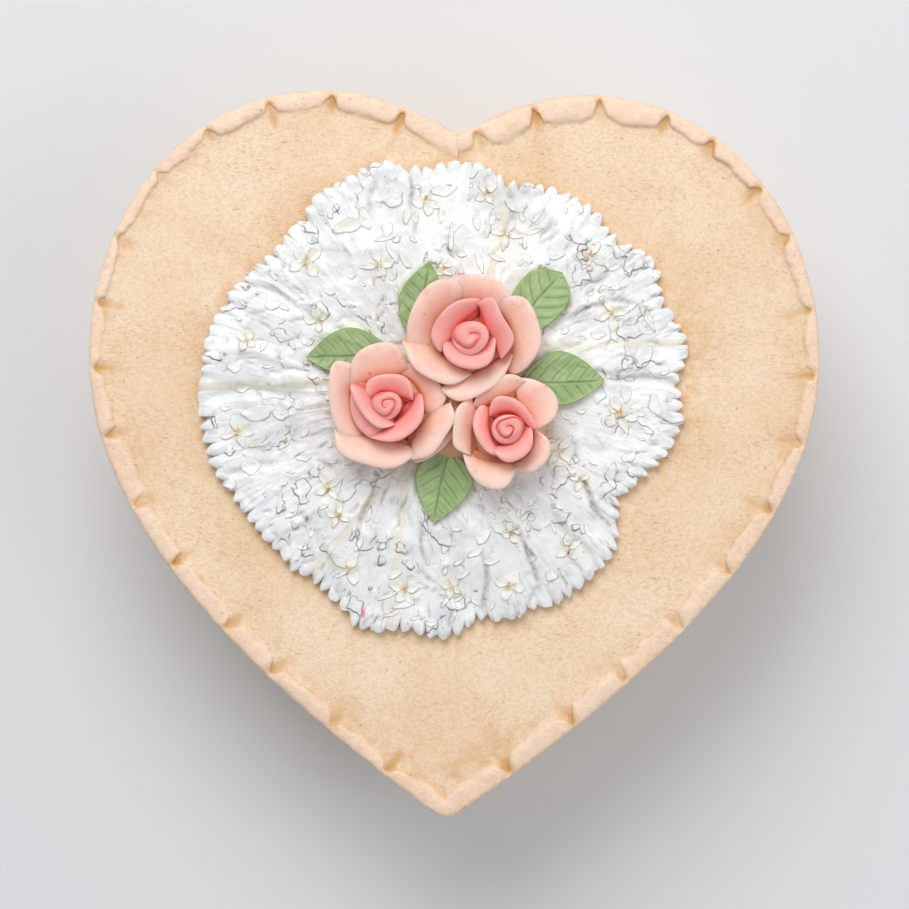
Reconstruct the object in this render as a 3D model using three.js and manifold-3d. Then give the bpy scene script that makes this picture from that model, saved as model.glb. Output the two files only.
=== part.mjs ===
// A heart-shaped trinket box in painted cast resin, in two castings.
// The box is an open heart-shaped tray. The lid lifts off it, and carries in one casting
// a pleated rim, a gathered lace ruffle, three roses and five leaves. The lip under the lid
// is a node of its own, lid_lip, and is cast in one with the lid.
// Millimetres, +Z up. The heart's tip points to -Y, and the origin is under its middle.

import * as THREE from 'three';
import { mergeVertices } from 'three/addons/utils/BufferGeometryUtils.js';
import Module from 'manifold-3d';

const wasm = await Module();
wasm.setup();

// The heart, as the lid's outer edge
const LID_WIDTH = 115;
const LID_LENGTH = 114;
const LOBE_SPACING = 41; // between the tops of the two lobes
const CLEFT_DEPTH = 6.6; // from the lobe tops down to the cleft
const SHOULDER_DROP = 41.8; // from the lobe tops down to the widest place
const TIP_RADIUS = 4;

// The box under the lid
const BOX_HEIGHT = 30;
const BOX_TIP_RADIUS = 7.5;
const BOX_WALL = 4.5;
const BOX_FLOOR = 4;
const BOX_TAPER = 2.4; // the wall leans in by this much from its top to its foot
const FOOT_RADIUS = 1.6;
const FLOOR_FILLET = 2;

// The lid and the lip that keeps it in place
const LID_THICKNESS = 6.5; // from the underside to the flat face
const LID_OVERHANG = 2;
const EDGE_ROUND = 1.4;
const LIP_DEPTH = 3;
const LIP_WIDTH = 3;
const LIP_CLEARANCE = 0.6;

// The pleated rim: a rolled hem pinched down at even steps
const PLEATS_PER_SIDE = 16;
const PLEAT_WIDTH = 2.7; // across the hem, at a pleat's fullest
const PLEAT_HEIGHT = 1.3; // over the flat face
const PINCH_WIDTH = 1.5;
const PINCH_HEIGHT = 0.35;
const PINCH_INSET = 0.4; // how far the outer side draws in at a pinch
const PLEAT_SLOPE = 0.45; // the run of the pleat's inner side

// The lace ruffle
const LACE_CENTRE = new THREE.Vector2(-1.7, 9.3);
const LACE_RADIUS = 37; // the roses and the leaves scale with it
const LACE_THICKNESS = 1.7;
const LACE_TEETH = 112;
const TOOTH_DEPTH = 1.1;
const FOLD_HEIGHT = 0.8;
const GATHER_RISE = 1.6; // the lace climbs by this much towards the roses
const LACE_SINK = 0.6; // how deep the ornament's roots reach into what carries them

// The ruffle's uneven edge: degrees from +X, and the distance from its centre as a share
// of its radius
const LACE_EDGE = [
  [0, 1.027], [14, 1.051], [30, 1.051], [48, 1.005], [66, 0.978], [80, 0.954],
  [92, 1.000], [106, 1.016], [122, 0.984], [140, 0.951], [155, 0.989], [170, 1.032],
  [188, 1.038], [206, 0.978], [225, 0.962], [240, 0.984], [252, 1.065], [262, 1.011],
  [271, 1.038], [281, 0.962], [293, 1.011], [306, 1.022], [318, 0.951], [333, 0.881],
  [346, 0.968],
];

// The roses: place from the ruffle's centre, outer radius and height over the lace, all as
// shares of the ruffle's radius, and where the outer petals point
const ROSES = [
  { x: 0.116, y: 0.232, radius: 0.281, height: 0.286, petals: [146, 77, 4, -68, -132], turn: 20 },
  { x: -0.232, y: -0.057, radius: 0.259, height: 0.254, petals: [104, 172, -108, -28, 40], turn: 140 },
  { x: 0.259, y: -0.159, radius: 0.235, height: 0.243, petals: [100, 174, -112, -40, 44], turn: 250 },
];
const PETAL_THICKNESS = 1.1;
const HEART_PETALS = 3; // the darker petals round each bud

// The leaves: root and tip from the ruffle's centre, and width, as shares of its radius
const LEAVES = [
  { root: [-0.100, 0.181], tip: [-0.057, 0.568], width: 0.205 },
  { root: [0.262, 0.270], tip: [0.503, 0.538], width: 0.243 },
  { root: [0.332, 0.097], tip: [0.695, 0.073], width: 0.232 },
  { root: [-0.230, 0.186], tip: [-0.595, 0.154], width: 0.200 },
  { root: [0.046, -0.208], tip: [-0.030, -0.546], width: 0.259 },
];
const LEAF_THICKNESS = 1.3;
const LEAF_LIFT = 0.9; // the leaf's middle stands this much over the lace

const FACE_LEVEL = BOX_HEIGHT + LID_THICKNESS;
const RADIANS = Math.PI / 180;
const JOIN_TOLERANCE = 0.03; // faces of a joined casting may move by this much

const RESIN = { color: 0xe9c79a, roughness: 0.55, metalness: 0 };

// The heart's outline

// Three curves from the cleft over the right lobe down to the tip.
function halfHeartPath() {
  const half = LID_WIDTH / 2;
  const top = LID_LENGTH / 2;
  const lobe = LOBE_SPACING / 2;
  const shoulder = top - SHOULDER_DROP;
  const fall = shoulder + top;
  const tipHandle = new THREE.Vector2(half * 0.686, fall * 0.384);
  const tipAngle = Math.atan2(tipHandle.x, tipHandle.y);
  const sharpTip = -top - TIP_RADIUS * (1 / Math.sin(tipAngle) - 1);
  const point = (x, y) => new THREE.Vector2(x, y);
  const path = new THREE.CurvePath();
  path.add(new THREE.CubicBezierCurve(
    point(0, top - CLEFT_DEPTH), point(lobe * 0.27, top - CLEFT_DEPTH * 0.5),
    point(lobe * 0.63, top), point(lobe, top)));
  path.add(new THREE.CubicBezierCurve(
    point(lobe, top), point(lobe + (half - lobe) * 0.59, top),
    point(half, shoulder + SHOULDER_DROP * 0.545), point(half, shoulder)));
  path.add(new THREE.CubicBezierCurve(
    point(half, shoulder), point(half, shoulder - fall * 0.318),
    point(tipHandle.x, sharpTip + tipHandle.y), point(0, sharpTip)));
  return path;
}

// Close steps along half the outline, each with its place, its inward direction
// and its distance from the cleft. The tip is rounded by an arc.
function outlineSteps(tipRadius) {
  const steps = [];
  for (const curve of halfHeartPath().curves) {
    for (let i = 0; i <= 200; i++) {
      const place = curve.getPoint(i / 200);
      const along = curve.getTangent(i / 200);
      steps.push({ place, inward: new THREE.Vector2(along.y, -along.x) });
    }
  }
  const crosses = ({ place, inward }) => place.x + inward.x * tipRadius < 0;
  const kept = steps.slice(0, steps.findIndex((step, i) => i > 300 && crosses(step)));
  const last = kept[kept.length - 1];
  const centre = last.place.clone().addScaledVector(last.inward, tipRadius).setX(0);
  const from = Math.atan2(-last.inward.y, -last.inward.x);
  for (let i = 1; i <= 20; i++) {
    const angle = THREE.MathUtils.lerp(from, -Math.PI / 2, i / 20);
    const out = new THREE.Vector2(Math.cos(angle), Math.sin(angle));
    kept.push({ place: centre.clone().addScaledVector(out, tipRadius), inward: out.negate() });
  }
  let run = 0;
  kept.forEach((step, i) => {
    if (i > 0) run += step.place.distanceTo(kept[i - 1].place);
    step.run = run;
  });
  return kept;
}

const LID_OUTLINE = outlineSteps(TIP_RADIUS);
const BOX_OUTLINE = outlineSteps(BOX_TIP_RADIUS);

// The step at a share of the way from the cleft to the tip.
function stepAt(outline, share) {
  const wanted = share * outline[outline.length - 1].run;
  const next = Math.max(1, outline.findIndex((step) => step.run >= wanted - 1e-9));
  const [a, b] = [outline[next - 1], outline[next]];
  const t = (wanted - a.run) / (b.run - a.run || 1);
  return {
    place: a.place.clone().lerp(b.place, t),
    inward: a.inward.clone().lerp(b.inward, t).normalize(),
  };
}

// Where the outline, moved inwards by an inset, meets the middle line above the tip.
function tipAt(outline, inset) {
  const moved = outline.map(({ place, inward }) => place.clone().addScaledVector(inward, inset));
  const crossing = moved.findIndex((p, i) => i > 300 && p.x <= 1e-6);
  return moved[crossing < 0 ? moved.length - 1 : crossing].y;
}

// The point at a share of one side and an inset from the outline.
function heartPoint(outline, share, inset, side) {
  const { place, inward } = stepAt(outline, share);
  if (share === 0) return [0, place.y - inset];
  const p = place.clone().addScaledVector(inward, inset);
  if (share === 1 || p.x <= 1e-6) return [0, tipAt(outline, inset)];
  return [side * p.x, p.y];
}

// A closed ring round the heart, anticlockwise from the cleft. The inset and the height are
// numbers, or functions of the share of a side.
function heartRing(outline, shares, inset, z) {
  const value = (v, share) => (typeof v === 'function' ? v(share) : v);
  const at = (share, side) => [
    ...heartPoint(outline, share, value(inset, share), side), value(z, share)];
  const left = shares.map((share) => at(share, -1));
  const right = shares.slice(1, -1).reverse().map((share) => at(share, 1));
  return [...left, ...right];
}

const evenShares = (count) => Array.from({ length: count + 1 }, (_, i) => i / count);

// Turning rings into solids

// A closed solid through a stack of rings, capped at both ends. A ring has as many points
// as the one before it, or half as many.
function loftGeometry(rings) {
  const positions = rings.flat(2);
  const starts = [];
  let total = 0;
  for (const ring of rings) {
    starts.push(total);
    total += ring.length;
  }
  const index = [];
  for (let k = 0; k + 1 < rings.length; k++) {
    const [a, b] = [starts[k], starts[k + 1]];
    const [n, m] = [rings[k].length, rings[k + 1].length];
    for (let i = 0; i < m; i++) {
      const j = (i + 1) % m;
      if (n === m) {
        index.push(a + i, a + j, b + j, a + i, b + j, b + i);
      } else {
        const [p, q, r] = [2 * i, 2 * i + 1, (2 * i + 2) % n];
        index.push(a + p, a + q, b + i, a + q, a + r, b + j, a + q, b + j, b + i);
      }
    }
  }
  const cap = (ring, start, up) => {
    const flat = ring.map(([x, y]) => new THREE.Vector2(x, y));
    for (const [i, j, k] of THREE.ShapeUtils.triangulateShape(flat, [])) {
      index.push(start + i, start + (up ? j : k), start + (up ? k : j));
    }
  };
  cap(rings[0], starts[0], false);
  cap(rings[rings.length - 1], starts[rings.length - 1], true);
  const geometry = new THREE.BufferGeometry();
  geometry.setAttribute('position', new THREE.Float32BufferAttribute(positions, 3));
  geometry.setIndex(index);
  return geometry;
}

// A solid for cutting and joining, from any closed geometry.
function solidFrom(geometry) {
  const bare = geometry.clone();
  bare.deleteAttribute('normal');
  bare.deleteAttribute('uv');
  const merged = mergeVertices(bare, 1e-4);
  const corners = merged.index.array;
  const faces = [];
  for (let i = 0; i < corners.length; i += 3) {
    const [a, b, c] = corners.slice(i, i + 3);
    if (a !== b && b !== c && c !== a) faces.push(a, b, c);
  }
  const mesh = new wasm.Mesh({
    numProp: 3,
    vertProperties: new Float32Array(merged.attributes.position.array),
    triVerts: new Uint32Array(faces),
  });
  return new wasm.Manifold(mesh);
}

// The geometry of a joined solid. A pocket that overlapping petals close off is filled,
// as the resin fills it.
function geometryFrom(solid) {
  const bodies = solid.decompose().sort((a, b) => b.volume() - a.volume());
  const mesh = bodies[0].simplify(JOIN_TOLERANCE).getMesh();
  const geometry = new THREE.BufferGeometry();
  geometry.setAttribute('position', new THREE.BufferAttribute(mesh.vertProperties, 3));
  geometry.setIndex(new THREE.BufferAttribute(mesh.triVerts, 1));
  geometry.computeVertexNormals();
  return geometry;
}

// The box

function boxGeometry() {
  const shares = evenShares(36);
  const ring = (inset, z) => heartRing(BOX_OUTLINE, shares, inset, z);
  const wallTop = LID_OVERHANG;
  const wallFoot = LID_OVERHANG + BOX_TAPER;
  const belly = LID_OVERHANG + BOX_TAPER * 0.3;
  const cavity = LID_OVERHANG + BOX_WALL;
  const cavityFoot = Math.max(cavity, wallFoot + BOX_WALL);
  return loftGeometry([
    ring(wallFoot + FOOT_RADIUS, 0),
    ring(wallFoot + FOOT_RADIUS * 0.3, FOOT_RADIUS * 0.3),
    ring(wallFoot, FOOT_RADIUS),
    ring(belly, BOX_HEIGHT * 0.5),
    ring(wallTop, BOX_HEIGHT),
    ring(cavity, BOX_HEIGHT),
    ring(cavityFoot, BOX_FLOOR + FLOOR_FILLET),
    ring(cavityFoot + FLOOR_FILLET, BOX_FLOOR),
  ]);
}

// The lid's plate with its pleated rim, and the lip below it

// How full the hem is at a phase of its pleat: 0 at the pinch, 1 at the fullest.
function pleatFullness(share) {
  const phase = (share * PLEATS_PER_SIDE) % 1;
  return Math.sin(Math.PI * phase ** 0.85) ** 0.45;
}

// The lip under the lid, a ring that drops inside the box's wall.
function lipGeometry() {
  const shares = evenShares(36);
  const outer = LID_OVERHANG + BOX_WALL + LIP_CLEARANCE;
  const block = (inset, from, to) => solidFrom(loftGeometry(
    [from, to].map((z) => heartRing(BOX_OUTLINE, shares, inset, z))));
  const body = block(outer, BOX_HEIGHT - LIP_DEPTH, BOX_HEIGHT);
  const middle = block(outer + LIP_WIDTH, BOX_HEIGHT - 2 * LIP_DEPTH, BOX_HEIGHT + LIP_DEPTH);
  return geometryFrom(body.subtract(middle));
}

function lidPlateGeometry() {
  const phases = [0, 0.16, 0.84];
  const shares = [];
  for (let pleat = 0; pleat < PLEATS_PER_SIDE; pleat++) {
    for (const phase of phases) shares.push((pleat + phase) / PLEATS_PER_SIDE);
  }
  shares.push(1);
  const full = (share) => (share === 1 ? 0 : pleatFullness(share));
  const crest = (share) => FACE_LEVEL + THREE.MathUtils.lerp(PINCH_HEIGHT, PLEAT_HEIGHT, full(share));
  const hem = (share) => THREE.MathUtils.lerp(PINCH_WIDTH, PLEAT_WIDTH, full(share));
  const pinch = (share) => PINCH_INSET * (1 - full(share));
  const ring = (inset, z) => heartRing(LID_OUTLINE, shares, inset, z);
  return loftGeometry([
    ring(EDGE_ROUND * 0.7, BOX_HEIGHT),
    ring(0, BOX_HEIGHT + EDGE_ROUND),
    ring(pinch, FACE_LEVEL),
    ring((share) => pinch(share) + EDGE_ROUND * 0.5, crest),
    ring((share) => hem(share) - PLEAT_SLOPE, crest),
    ring(hem, FACE_LEVEL),
  ]);
}

// The lace ruffle

// A place on the lid, from shares of the ruffle's radius.
function onLace([x, y]) {
  return new THREE.Vector2(x, y).multiplyScalar(LACE_RADIUS).add(LACE_CENTRE);
}

// The folds' height at an angle round the ruffle, from -1 to 1.
function foldAt(angle) {
  return 0.42 * Math.sin(11 * angle + 0.6)
    + 0.34 * Math.sin(17 * angle + 2.1)
    + 0.24 * Math.sin(5 * angle + 4.0);
}

function laceGeometry() {
  const outline = LACE_EDGE.map(([degrees, share]) => new THREE.Vector3(
    Math.cos(degrees * RADIANS), Math.sin(degrees * RADIANS), 0).multiplyScalar(share * LACE_RADIUS));
  const edge = new THREE.CatmullRomCurve3(outline, true, 'centripetal')
    .getSpacedPoints(2 * LACE_TEETH).slice(0, 2 * LACE_TEETH);
  const notched = edge.map((p, i) => (i % 2 ? p : p.clone().setLength(p.length() - TOOTH_DEPTH)));
  const everySecond = (points) => points.filter((p, i) => i % 2 === 0);
  const inner = everySecond(edge);
  const sparse = everySecond(inner);
  const place = (p, reach, z) => [
    LACE_CENTRE.x + p.x * reach, LACE_CENTRE.y + p.y * reach, z];
  const drape = (p, reach) => FACE_LEVEL + LACE_THICKNESS + GATHER_RISE * (1 - reach) ** 1.5
    + FOLD_HEIGHT * foldAt(Math.atan2(p.y, p.x)) * Math.sin(Math.PI * Math.min(1, 1.25 * reach - 0.15));
  const ring = (points, reach) => points.map((p) => place(p, reach, drape(p, reach)));
  const centreLevel = FACE_LEVEL + LACE_THICKNESS + GATHER_RISE * 0.8;
  return loftGeometry([
    notched.map((p) => place(p, 1, FACE_LEVEL - LACE_SINK)),
    notched.map((p) => place(p, 1, FACE_LEVEL + LACE_THICKNESS * 0.8 + 0.3 * foldAt(Math.atan2(p.y, p.x)))),
    ring(inner, 0.95),
    ring(sparse, 0.78),
    ring(sparse, 0.52),
    everySecond(sparse).map((p) => place(p, 0.28, centreLevel)),
  ]);
}

// The roses

// A curved petal round a rose's axis. The profile is a curve from the petal's root to its
// lip, by four points as [distance from the axis, height]. The spread is half its width
// in degrees, and the droop lowers its two sides.
function petalGeometry({ turn, spread, profile: points, droop, thickness, across = 4, along = 3 }) {
  const profile = new THREE.CubicBezierCurve(...points.map((p) => new THREE.Vector2(...p)));
  const geometry = new THREE.BoxGeometry(2, 1, 1, across, along, 1);
  const box = geometry.attributes.position;
  for (let i = 0; i < box.count; i++) {
    const a = box.getX(i);
    const reach = (box.getY(i) + 0.5) * (1 - 0.22 * a ** 4);
    const under = 0.5 - box.getZ(i);
    const p = profile.getPoint(reach);
    const along2 = profile.getTangent(reach);
    const depth = thickness * under * (1 - 0.3 * reach ** 4);
    const r = Math.max(0.05, p.x + along2.y * depth);
    const z = p.y - along2.x * depth - droop * a ** 2 * reach;
    const angle = (turn - spread * a) * RADIANS;
    box.setXYZ(i, r * Math.cos(angle), r * Math.sin(angle), z);
  }
  return geometry;
}

function roseSolids({ x, y, radius, height, petals, turn }) {
  const centre = onLace([x, y]);
  const R = radius * LACE_RADIUS;
  const H = height * LACE_RADIUS;
  const seat = FACE_LEVEL + LACE_THICKNESS;
  const shapes = [];
  petals.forEach((direction, i) => {
    const lift = (i % 2) * 0.09 * H;
    shapes.push(petalGeometry({
      turn: direction, spread: 43, thickness: PETAL_THICKNESS * 1.3, droop: 0.05 * H,
      profile: [[0.2, 0.2], [0.75, 0.16], [0.74, 0.62], [1, 0.4]].map(([r, z]) => [r * R, z * H + lift]),
    }));
  });
  for (let i = 0; i < HEART_PETALS; i++) {
    const lift = (i % 2) * 0.05 * H;
    shapes.push(petalGeometry({
      turn: turn + (i * 360) / HEART_PETALS, spread: 66, thickness: PETAL_THICKNESS, droop: 0.12 * H,
      profile: [[0.22, 0.25], [0.5, 0.42], [0.44, 0.72], [0.62, 0.82]].map(([r, z]) => [r * R, z * H + lift]),
    }));
  }
  shapes.push(petalGeometry({
    turn: turn + 60, spread: 150, thickness: PETAL_THICKNESS * 0.8, droop: 0.12 * H,
    profile: [[0.15, 0.4], [0.26, 0.6], [0.28, 0.9], [0.24, 1]].map(([r, z]) => [r * R, z * H]),
    across: 8, along: 2,
  }));
  const core = new THREE.LatheGeometry([
    [0, -LACE_SINK], [0.68 * R, -LACE_SINK], [0.66 * R, 0.2 * H], [0.4 * R, 0.5 * H],
    [0.14 * R, 0.66 * H], [0.1 * R, 0.86 * H], [0, 0.9 * H],
  ].map(([r, z]) => new THREE.Vector2(r, z)), 12).rotateX(Math.PI / 2);
  shapes.push(core);
  return shapes.map((shape) => solidFrom(shape.translate(centre.x, centre.y, seat)));
}

// The leaves

// A pointed leaf, folded a little along its rib, with its tip bent down to the lace.
function leafSolid({ root, tip, width }) {
  const from = onLace(root);
  const axis = onLace(tip).sub(from);
  const side = new THREE.Vector2(-axis.y, axis.x).normalize();
  const geometry = new THREE.BoxGeometry(1, 1, 1, 4, 4, 1);
  const box = geometry.attributes.position;
  const seat = FACE_LEVEL + LACE_THICKNESS;
  for (let i = 0; i < box.count; i++) {
    const across = 2 * box.getX(i);
    const t = box.getY(i) + 0.5;
    const under = 0.5 - box.getZ(i);
    const spread = Math.sin(Math.PI * (0.12 + 0.88 * t) ** 0.8) ** 0.8;
    const half = (width / 2) * LACE_RADIUS * Math.max(spread, 0.02);
    const p = from.clone().addScaledVector(axis, t).addScaledVector(side, -across * half);
    const arch = LEAF_LIFT * Math.sin(Math.PI * Math.min(1, 0.35 + 0.65 * t));
    const fold = 0.5 * (Math.abs(across) - 0.4) * spread;
    const z = seat + 0.9 + arch - fold - under * (LEAF_THICKNESS + arch);
    box.setXYZ(i, p.x, p.y, z);
  }
  return solidFrom(geometry);
}

// Putting the castings together

function castMesh(name, geometry) {
  const mesh = new THREE.Mesh(geometry, new THREE.MeshStandardMaterial(RESIN));
  mesh.name = name;
  return mesh;
}

const lidSolid = wasm.Manifold.union([
  solidFrom(lidPlateGeometry()),
  solidFrom(laceGeometry()),
  ...ROSES.flatMap(roseSolids),
  ...LEAVES.map(leafSolid),
]);

const trinketBox = new THREE.Group();
trinketBox.add(castMesh('box', geometryFrom(solidFrom(boxGeometry()))));
trinketBox.add(castMesh('lid', geometryFrom(lidSolid)));
trinketBox.add(castMesh('lid_lip', lipGeometry()));

export default trinketBox;
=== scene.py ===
"""Looks of a heart trinket box in painted cast resin.

The box is an open heart-shaped tray. Its lid carries a pleated rim, a gathered lace
ruffle with raised motifs, three roses and five leaves. Sizes inside the classes are in
millimetres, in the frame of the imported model, and meshes are placed in metres.
"""

from __future__ import annotations

import logging
import math
from collections.abc import Callable, Sequence
from dataclasses import dataclass
from enum import Enum
from functools import cached_property

import bpy
import numpy as np
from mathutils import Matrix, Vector


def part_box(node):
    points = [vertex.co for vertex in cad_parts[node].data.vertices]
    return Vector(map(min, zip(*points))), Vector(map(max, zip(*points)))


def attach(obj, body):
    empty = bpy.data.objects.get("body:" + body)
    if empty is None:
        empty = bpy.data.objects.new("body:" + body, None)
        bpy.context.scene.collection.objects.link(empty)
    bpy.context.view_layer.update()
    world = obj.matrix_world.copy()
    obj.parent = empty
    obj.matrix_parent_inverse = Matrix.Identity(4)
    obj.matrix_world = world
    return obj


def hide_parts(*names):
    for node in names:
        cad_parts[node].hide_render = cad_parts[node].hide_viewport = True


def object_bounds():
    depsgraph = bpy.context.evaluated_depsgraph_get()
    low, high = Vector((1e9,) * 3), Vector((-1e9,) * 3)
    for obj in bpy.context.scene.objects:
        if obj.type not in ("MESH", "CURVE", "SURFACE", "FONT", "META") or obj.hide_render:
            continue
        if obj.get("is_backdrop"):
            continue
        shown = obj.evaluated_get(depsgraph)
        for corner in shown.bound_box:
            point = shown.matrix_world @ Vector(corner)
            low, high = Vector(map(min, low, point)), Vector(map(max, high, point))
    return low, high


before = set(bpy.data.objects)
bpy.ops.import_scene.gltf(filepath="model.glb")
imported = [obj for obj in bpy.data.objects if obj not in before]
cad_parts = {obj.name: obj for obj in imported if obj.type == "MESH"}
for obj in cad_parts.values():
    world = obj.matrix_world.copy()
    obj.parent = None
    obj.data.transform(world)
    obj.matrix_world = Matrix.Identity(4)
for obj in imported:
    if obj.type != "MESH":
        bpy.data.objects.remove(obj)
CAD_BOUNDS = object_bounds()

LOG = logging.getLogger("heart_box")
MM = 0.001
BODY = "root"
IMAGE_PIXELS = 909

Points = np.ndarray
Colour = tuple[float, float, float]


def level(node: str, corner: int) -> float:
    """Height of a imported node's lowest or highest point.

    Args:
        node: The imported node's name.
        corner: 0 for the lowest corner, 1 for the highest.

    Returns:
        The height in millimetres.
    """
    return round(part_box(node)[corner].z / MM, 3)


BOX_TOP = level("box", 1)
LIP_FOOT = level("lid_lip", 0)
LID_THICKNESS = 6.5
FACE = BOX_TOP + LID_THICKNESS
LID_TIP_RADIUS = 4.0
BOX_TIP_RADIUS = 7.5
HEART_MIDDLE = np.array([0.0, 8.0])


class Slot(Enum):
    """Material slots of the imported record."""

    RESIN = "resin"
    LACE = "lace_paint"
    PETAL = "petal_paint"
    LEAF = "leaf_paint"


def smooth_step(low: float, high: float, value: Points) -> Points:
    """Smooth ramp from 0 at low to 1 at high."""
    t = np.clip((value - low) / (high - low), 0, 1)
    return t * t * (3 - 2 * t)


@dataclass(frozen=True)
class Noise:
    """Seeded smooth noise over the plane.

    Attributes:
        seed: Seed of the random lattice.
        cells: Lattice cells along each direction before it repeats.
    """

    seed: int
    cells: int = 128

    @cached_property
    def lattice(self) -> Points:
        """Random values at the lattice's corners."""
        return np.random.default_rng(self.seed).random((self.cells, self.cells)) * 2 - 1

    def at(self, x: Points, y: Points) -> Points:
        """Noise at points given in lattice cells.

        Args:
            x: Places along the first direction.
            y: Places along the second direction.

        Returns:
            Values from about -1 to 1.
        """
        column, row = np.floor(x).astype(int), np.floor(y).astype(int)
        u, v = x - column, y - row
        u, v = u * u * (3 - 2 * u), v * v * (3 - 2 * v)
        pick = lambda i, j: self.lattice[(column + i) % self.cells, (row + j) % self.cells]
        low = pick(0, 0) * (1 - u) + pick(1, 0) * u
        high = pick(0, 1) * (1 - u) + pick(1, 1) * u
        return low * (1 - v) + high * v

    def layered(self, x: Points, y: Points, layers: int = 3) -> Points:
        """Several layers of noise, each finer and fainter than the one before.

        Args:
            x: Places along the first direction.
            y: Places along the second direction.
            layers: How many.

        Returns:
            Values from about -1 to 1.
        """
        total = np.zeros(np.shape(x))
        for layer in range(layers):
            total = total + self.at(x * 2**layer + 17.3 * layer, y * 2**layer + 9.1 * layer) / 2**layer
        return total / 1.6


def spline(points: Sequence[Sequence[float]], shares: Points) -> Points:
    """A smooth curve through points, as a natural cubic spline.

    Args:
        points: At least three places.
        shares: Where to read the curve, from 0 at its start to 1 at its end.

    Returns:
        The curve's places, one row for each share.
    """
    p = np.array(points, float)
    t = np.concatenate([[0], np.cumsum(np.linalg.norm(np.diff(p, axis=0), axis=1))])
    h = np.diff(t)[:, None]
    system, right = np.eye(len(p)), np.zeros_like(p)
    for i in range(1, len(p) - 1):
        system[i, i - 1 : i + 2] = h[i - 1, 0], 2 * (h[i - 1, 0] + h[i, 0]), h[i, 0]
        right[i] = 6 * ((p[i + 1] - p[i]) / h[i] - (p[i] - p[i - 1]) / h[i - 1])
    bend = np.linalg.solve(system, right)
    s = np.asarray(shares) * t[-1]
    k = np.clip(np.searchsorted(t, s, side="right") - 1, 0, len(p) - 2)
    a, b, w = (t[k + 1] - s)[:, None], (s - t[k])[:, None], h[k]
    curved = (bend[k] * a**3 + bend[k + 1] * b**3) / (6 * w)
    return curved + (p[k] / w - bend[k] * w / 6) * a + (p[k + 1] / w - bend[k + 1] * w / 6) * b


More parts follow.
